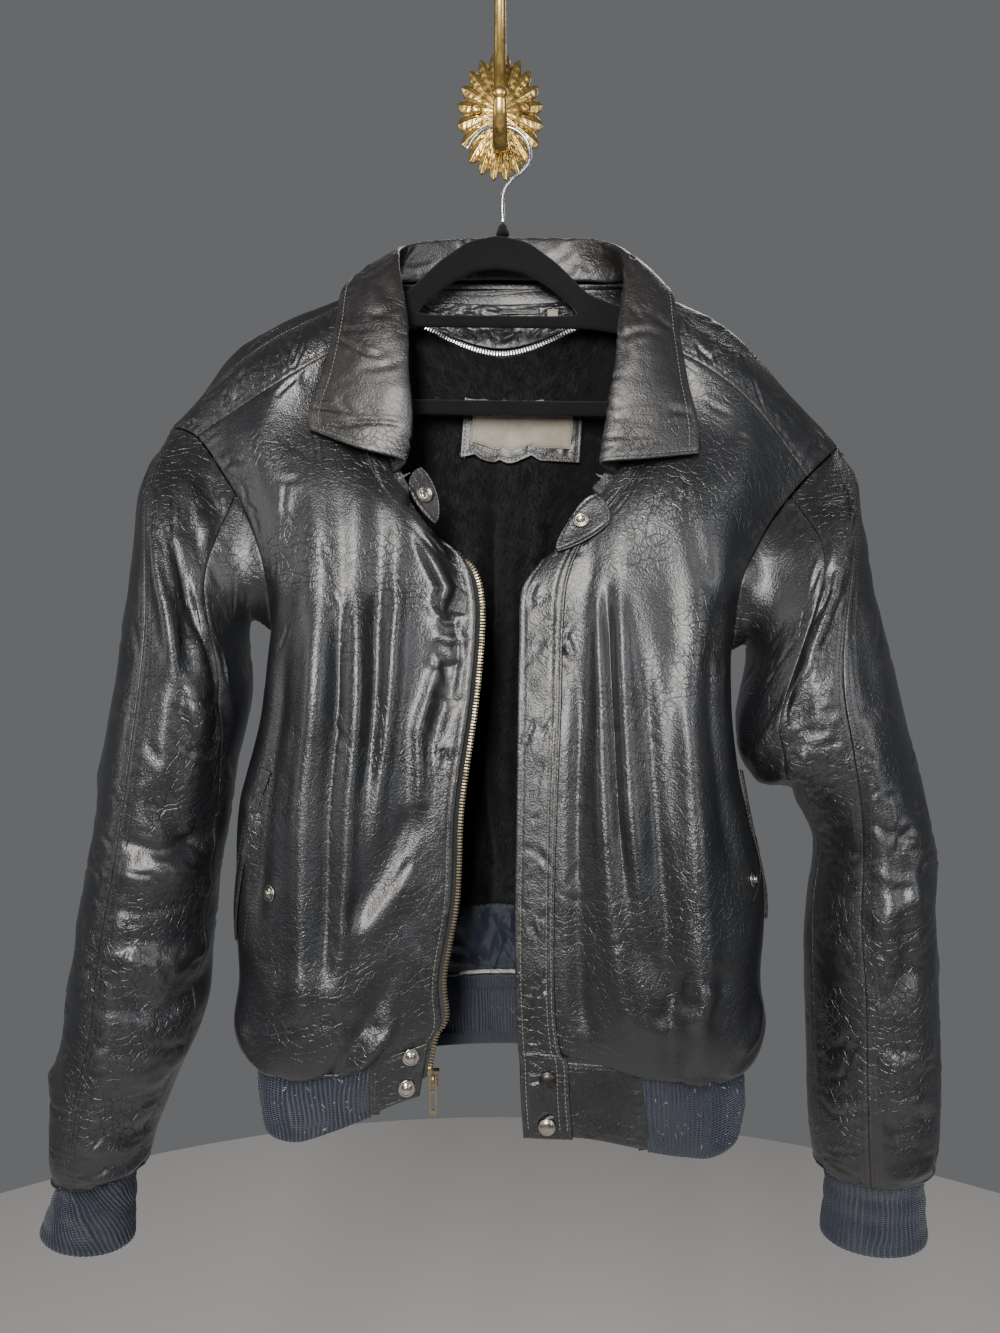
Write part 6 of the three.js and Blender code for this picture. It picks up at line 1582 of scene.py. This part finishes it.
# Hanger
def plate(name, outlines, front, thick, bevel, tilt=0.0):
    """A plate cut from closed outlines in x and z, its edges rounded."""
    curve = bpy.data.curves.new(name, "CURVE")
    curve.dimensions = "2D"
    curve.fill_mode = "BOTH"
    curve.extrude = (thick / 2 - bevel) * MM
    curve.bevel_depth = bevel * MM
    curve.bevel_resolution = 3
    curve.offset = -bevel * MM
    for points in outlines:
        spline = curve.splines.new("POLY")
        spline.points.add(len(points) - 1)
        for target, (x, z) in zip(spline.points, points):
            target.co = (x * MM, z * MM, 0, 1)
        spline.use_cyclic_u = True
    holder = link(name + "_curve", curve)
    mesh = bpy.data.meshes.new_from_object(holder.evaluated_get(bpy.context.evaluated_depsgraph_get()))
    bpy.data.objects.remove(holder)
    count = len(mesh.vertices)
    flat = np.zeros(count * 3)
    mesh.vertices.foreach_get("co", flat)
    flat = flat.reshape(-1, 3)
    x, z, y = flat[:, 0], flat[:, 1], -flat[:, 2] + (front + thick / 2) * MM
    turned_ = np.stack([x * math.cos(tilt) + z * math.sin(tilt), y, z * math.cos(tilt) - x * math.sin(tilt)],
                       axis=1)
    mesh.vertices.foreach_set("co", turned_.ravel())
    mesh.update()
    for polygon in mesh.polygons:
        polygon.use_smooth = True
    return link(name, mesh)


def softened(points, per=6):
    """A closed outline drawn as a smooth curve through its points, close to its straight edges."""
    pts = arr(points)
    out = []
    for i in range(len(pts)):
        a, b, c = pts[i - 1], pts[i], pts[(i + 1) % len(pts)]
        for k in range(per):
            u = k / (per - 1)
            start, end = b + (a - b) * 0.25, b + (c - b) * 0.25
            out.append((start * (1 - u) ** 2 + b * 2 * u * (1 - u) + end * u * u).tolist())
    return out


def mirrored(points):
    other = [(-x, z) for x, z in points if x > 0]
    return [tuple(p) for p in points[::-1]] + other


ARM_TOP = [(0, -121), (24, -126), (48, -143), (72, -167), (95, -176), (129, -179.5), (150, -188), (167, -197),
           (188, -208.5), (203, -222), (209, -234)]
HANGER_FOOT = [(207, -248), (196, -262), (180, -265)]
ARCH_HOLE = [(0, -147), (20, -150), (40, -160.5), (58, -175), (66, -185.5)]
MIDDLE_HOLE = [(74, -194.5), (95, -198), (129, -201), (150, -207), (167, -214), (183, -225), (192, -237),
               (190, -248), (182, -253.5)]
HANGER_TILT = 0.012
HANGER_MIDDLE = -45.0
OUTLINES = [softened(mirrored(half)) for half in (ARM_TOP + HANGER_FOOT, ARCH_HOLE, MIDDLE_HOLE)]
hanger = plate("hanger_flocked", OUTLINES, HANGER_MIDDLE - 3, 6, 2.0, HANGER_TILT)
dressed(hanger, FLOCK, "hanger")
turned("hanger_ferrule_turned", rounded([(0.01, 0), (5.5, 0), (5.2, 3), (3.6, 7), (3, 8.5), (0.01, 8.6)], 2),
       (2.2, HANGER_MIDDLE, -120.9), (0.001, 0, 1), FLOCK, "hanger_ferrule", slot="black_flock")


def sweep(points, across, deep, side, count=24, per=10):
    """A rod through points; across and deep are its half sizes at each, side is the direction of across."""
    curve = through(points)
    knots = np.linspace(0, len(points) - 1, (len(points) - 1) * per + 1)
    p = curve(knots)
    tangent = unit(np.gradient(p, axis=0))
    a = np.interp(knots, np.arange(len(across)), across)
    b = np.interp(knots, np.arange(len(deep)), deep)
    passed = np.concatenate([[0], np.cumsum(np.linalg.norm(np.diff(p, axis=0), axis=1))])
    for far, limit in ((passed, b[0]), (passed[-1] - passed, b[-1])):
        k = np.sqrt(np.clip(1 - np.clip(1 - far / limit, 0, 0.999) ** 2, 0.02, 1))
        a, b = a * k, b * k
    side = arr(side)
    side = unit(side - tangent * np.sum(tangent * side, axis=1, keepdims=True))
    other = np.cross(tangent, side)
    angle = 2 * math.pi * np.arange(count) / count
    verts = (p[:, None] + side[:, None] * (a[:, None] * np.cos(angle))[..., None]
             + other[:, None] * (b[:, None] * np.sin(angle))[..., None])
    rows = len(p)
    faces = grid_faces(rows, count, False, True)
    body = verts.reshape(-1, 3)
    caps = []
    for row, centre in ((0, len(body)), (rows - 1, len(body) + 1)):
        for k in range(count):
            first, second = row * count + k, row * count + (k + 1) % count
            caps.append((second, first, centre, centre) if row == 0 else (first, second, centre, centre))
    body = np.vstack([body, p[:1], p[-1:]])
    return body, faces, [(c[0], c[1], c[2]) for c in caps]


def rod(name, *args, **keys):
    body, quads, caps = sweep(*args, **keys)
    mesh = bpy.data.meshes.new(name)
    mesh.from_pydata((body * MM).tolist(), [], [tuple(q) for q in quads.tolist()] + caps)
    mesh.polygons.foreach_set("use_smooth", np.ones(len(mesh.polygons), dtype=bool))
    mesh.update()
    return link(name, mesh)


WIRE = [(2.3, -112), (2.4, -88), (8, -77), (17.5, -69), (23.6, -60), (22.6, -47), (14, -36.6), (0, -32.6),
        (-13, -35.4), (-22.5, -43.5), (-27, -52)]
wire = rod("hanger_wire_round", [(x, HANGER_MIDDLE, z) for x, z in WIRE], [1.6] * 11, [1.6] * 11, (0, 1, 0),
           count=20)
dressed(wire, CHROME, "hanger_wire")


# Wall hook
ROSETTE_HALF, ROSETTE_UP, ROSETTE_DOWN = 36.5, 52, 56


def rosette():
    """An oval rosette of pointed leaves, each with a middle rib and slanting veins."""
    petals, per, rows = 20, 18, 46
    around = petals * per
    verts = []
    profile_x, profile_y = [0, 0.34, 0.6, 0.86, 1], [7.4, 6.6, 5.2, 3.4, 1.6]
    for j in range(rows):
        share = 1 - j / rows
        for i in range(around):
            angle = 2 * math.pi * i / around
            tip = abs(((i / per) % 1) - 0.5) * 2
            leaf = 1 - tip
            outer = max((share - 0.45) / 0.55, 0)
            notch = 1 - (0.15 * tip ** 1.6 * outer ** 1.3 + 0.02 * tip)
            depth = float(np.interp(share, profile_x, profile_y))
            groove = 0.75 * math.exp(-((tip - 1) / 0.16) ** 2)
            rib = 0.55 * math.exp(-(tip / 0.13) ** 2)
            veins = 0.22 * math.sin(share * 46 - tip * 7)
            veins *= min(tip * 4, 1) * min(leaf * 5, 1) * min(share * 2.5, 1)
            ring_cut = 0.9 * math.exp(-(((share - 0.5) / 0.05) ** 2))
            relief = (rib + veins - 1.5 * groove) * min(share * 2.2, 1)
            high = depth - 0.5 * tip * share + relief - 0.5 * ring_cut
            reach = share * notch
            tall = ROSETTE_DOWN if angle > math.pi else ROSETTE_UP
            verts.append((ROSETTE_HALF * reach * math.cos(angle), -max(high, 0.5),
                          tall * reach * math.sin(angle)))
    base = len(verts)
    verts += [(x, 0, z) for x, _, z in verts[:around]]
    verts += [(0, -7.6, 0), (0, 0, 0)]
    faces = [tuple(q) for q in grid_faces(rows, around, True, True).tolist()]
    last = (rows - 1) * around
    for i in range(around):
        after = (i + 1) % around
        faces.append((last + after, last + i, base + around))
        faces.append((i, after, base + after, base + i))
        faces.append((base + i, base + after, base + around + 1))
    mesh = bpy.data.meshes.new("rosette")
    mesh.from_pydata([(x * MM, y * MM, z * MM) for x, y, z in verts], [], faces)
    mesh.polygons.foreach_set("use_smooth", np.ones(len(mesh.polygons), dtype=bool))
    mesh.update()
    return link("wall_hook_rosette", mesh)


def ball(name, centre, sizes):
    mesh = bpy.data.meshes.new(name)
    shape = bmesh.new()
    bmesh.ops.create_uvsphere(shape, u_segments=32, v_segments=20, radius=1)
    for vert in shape.verts:
        vert.co = [(c + s * k) * MM for c, s, k in zip(centre, sizes, vert.co)]
    shape.to_mesh(mesh)
    shape.free()
    mesh.polygons.foreach_set("use_smooth", np.ones(len(mesh.polygons), dtype=bool))
    return link(name, mesh)


UPPER_ARM = [(-3, 14), (-15, 24), (-30, 40), (-43, 62), (-52, 84)]
PRONG = [(-3, -22), (-12, -33.3), (-28, -40.2), (-45, -38.3), (-56, -29.6), (-61, -16.5)]
hook_parts = [
    rosette(),
    rod("wall_hook_arm", [(0, y, z) for y, z in UPPER_ARM], [6.4, 5.2, 5.0, 4.6, 4.6],
        [3.4, 3.2, 3.2, 3.2, 3.4], (1, 0, 0)),
    rod("wall_hook_prong", [(0, y, z) for y, z in PRONG], [5.0, 6.0, 6.0, 6.0, 5.6, 5.0], [3.0] * 6,
        (1, 0, 0)),
    ball("wall_hook_knob", (0, -54, 90), (9, 9, 9)),
    ball("wall_hook_tip", (0, -61.4, -15), (6.2, 3.72, 4.96)),
]
for piece in hook_parts:
    dressed(piece, BRASS, "wall_hook")


def slotted(turn):
    ca, sa = math.cos(turn), math.sin(turn)

    def cut(x, y, high):
        across = -x * sa + y * ca
        return high - 1.0 * math.exp(-((across / 0.55) ** 4)) * (1 if high > 0.9 else 0)

    return cut


SCREW = [(4.6, 0), (4.7, 0.6), (4.5, 1.1), (4.0, 1.6), (3.4, 2.05), (2.8, 2.35), (2.2, 2.5), (1.6, 2.6),
         (1.1, 2.66), (0.6, 2.7), (0.01, 2.7)]
for name, x, z, turn in (("screw_left", -20, 3, 0.5), ("screw_right", 21, 4, -0.9)):
    turned(name + "_slotted", SCREW, (x, -6.1, z), (0, -1, 0.0001), BRASS, name, around=72, slot="hook_brass",
           cut=slotted(turn))


# Sewing thread, floor, light and camera
for soup, name, look in ((threads, "stitching", THREAD), (pale_threads, "worn_stitching", PALE_THREAD)):
    piece = soup.make(name)
    piece.data.materials.append(look)
    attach(piece, "coat")

FLOOR_Z, FLOOR_RADIUS, FLOOR_SIDES = -1750, 2000, 96
ring = []
for k in range(FLOOR_SIDES):
    turn = 2 * math.pi * k / FLOOR_SIDES
    ring.append((FLOOR_RADIUS * math.cos(turn), FLOOR_RADIUS * math.sin(turn), FLOOR_Z))
floor = new_object("floor", ring + [(0, 0, FLOOR_Z)],
                   [(k, (k + 1) % FLOOR_SIDES, FLOOR_SIDES) for k in range(FLOOR_SIDES)])
floor_look = Look("pale_floor", (0.62, 0.6, 0.58), 0.7)
floor_look.bump(floor_look.noise(60.0, 3.0), 0.0003, 0.3)
floor.data.materials.append(floor_look.m)


def area_light(name, place, target, size, power, shade=(1, 1, 1)):
    data = bpy.data.lights.new(name, "AREA")
    data.shape = "RECTANGLE"
    data.size, data.size_y = size
    data.energy = power
    data.color = shade
    light = link(name, data)
    light.location = place
    light.rotation_euler = (Vector(target) - Vector(place)).to_track_quat("-Z", "Y").to_euler()


area_light("key", (-0.3, -2.0, 0.15), (-0.02, 0, -0.5), (0.36, 1.2), 62, (1.0, 0.975, 0.94))
area_light("fill", (1.25, -1.5, -0.1), (0.1, 0, -0.5), (0.3, 1.2), 10, (0.93, 0.96, 1.0))
area_light("side", (-1.5, -0.7, -0.1), (-0.1, 0, -0.5), (0.4, 1.2), 5, (1.0, 0.98, 0.96))
area_light("back_top", (0.3, 1.2, 0.9), (0, 0, -0.4), (1.2, 0.8), 16)

world = bpy.data.worlds.new("studio")
world.use_nodes = True
sky = world.node_tree.nodes["Background"]
sky.inputs["Color"].default_value = (0.8, 0.82, 0.85, 1)
sky.inputs["Strength"].default_value = 0.17
bpy.context.scene.world = world

camera_data = bpy.data.cameras.new("camera")
camera_data.sensor_fit = "VERTICAL"
camera_data.sensor_height = 36
camera_data.lens = camera_data.sensor_height * FOCUS / VIEW_HIGH
camera_data.clip_start = 0.02
camera = link("camera", camera_data)
camera.location = [c * MM for c in CAMERA]
camera.rotation_euler = (math.pi / 2, 0, 0)
bpy.context.scene.camera = camera
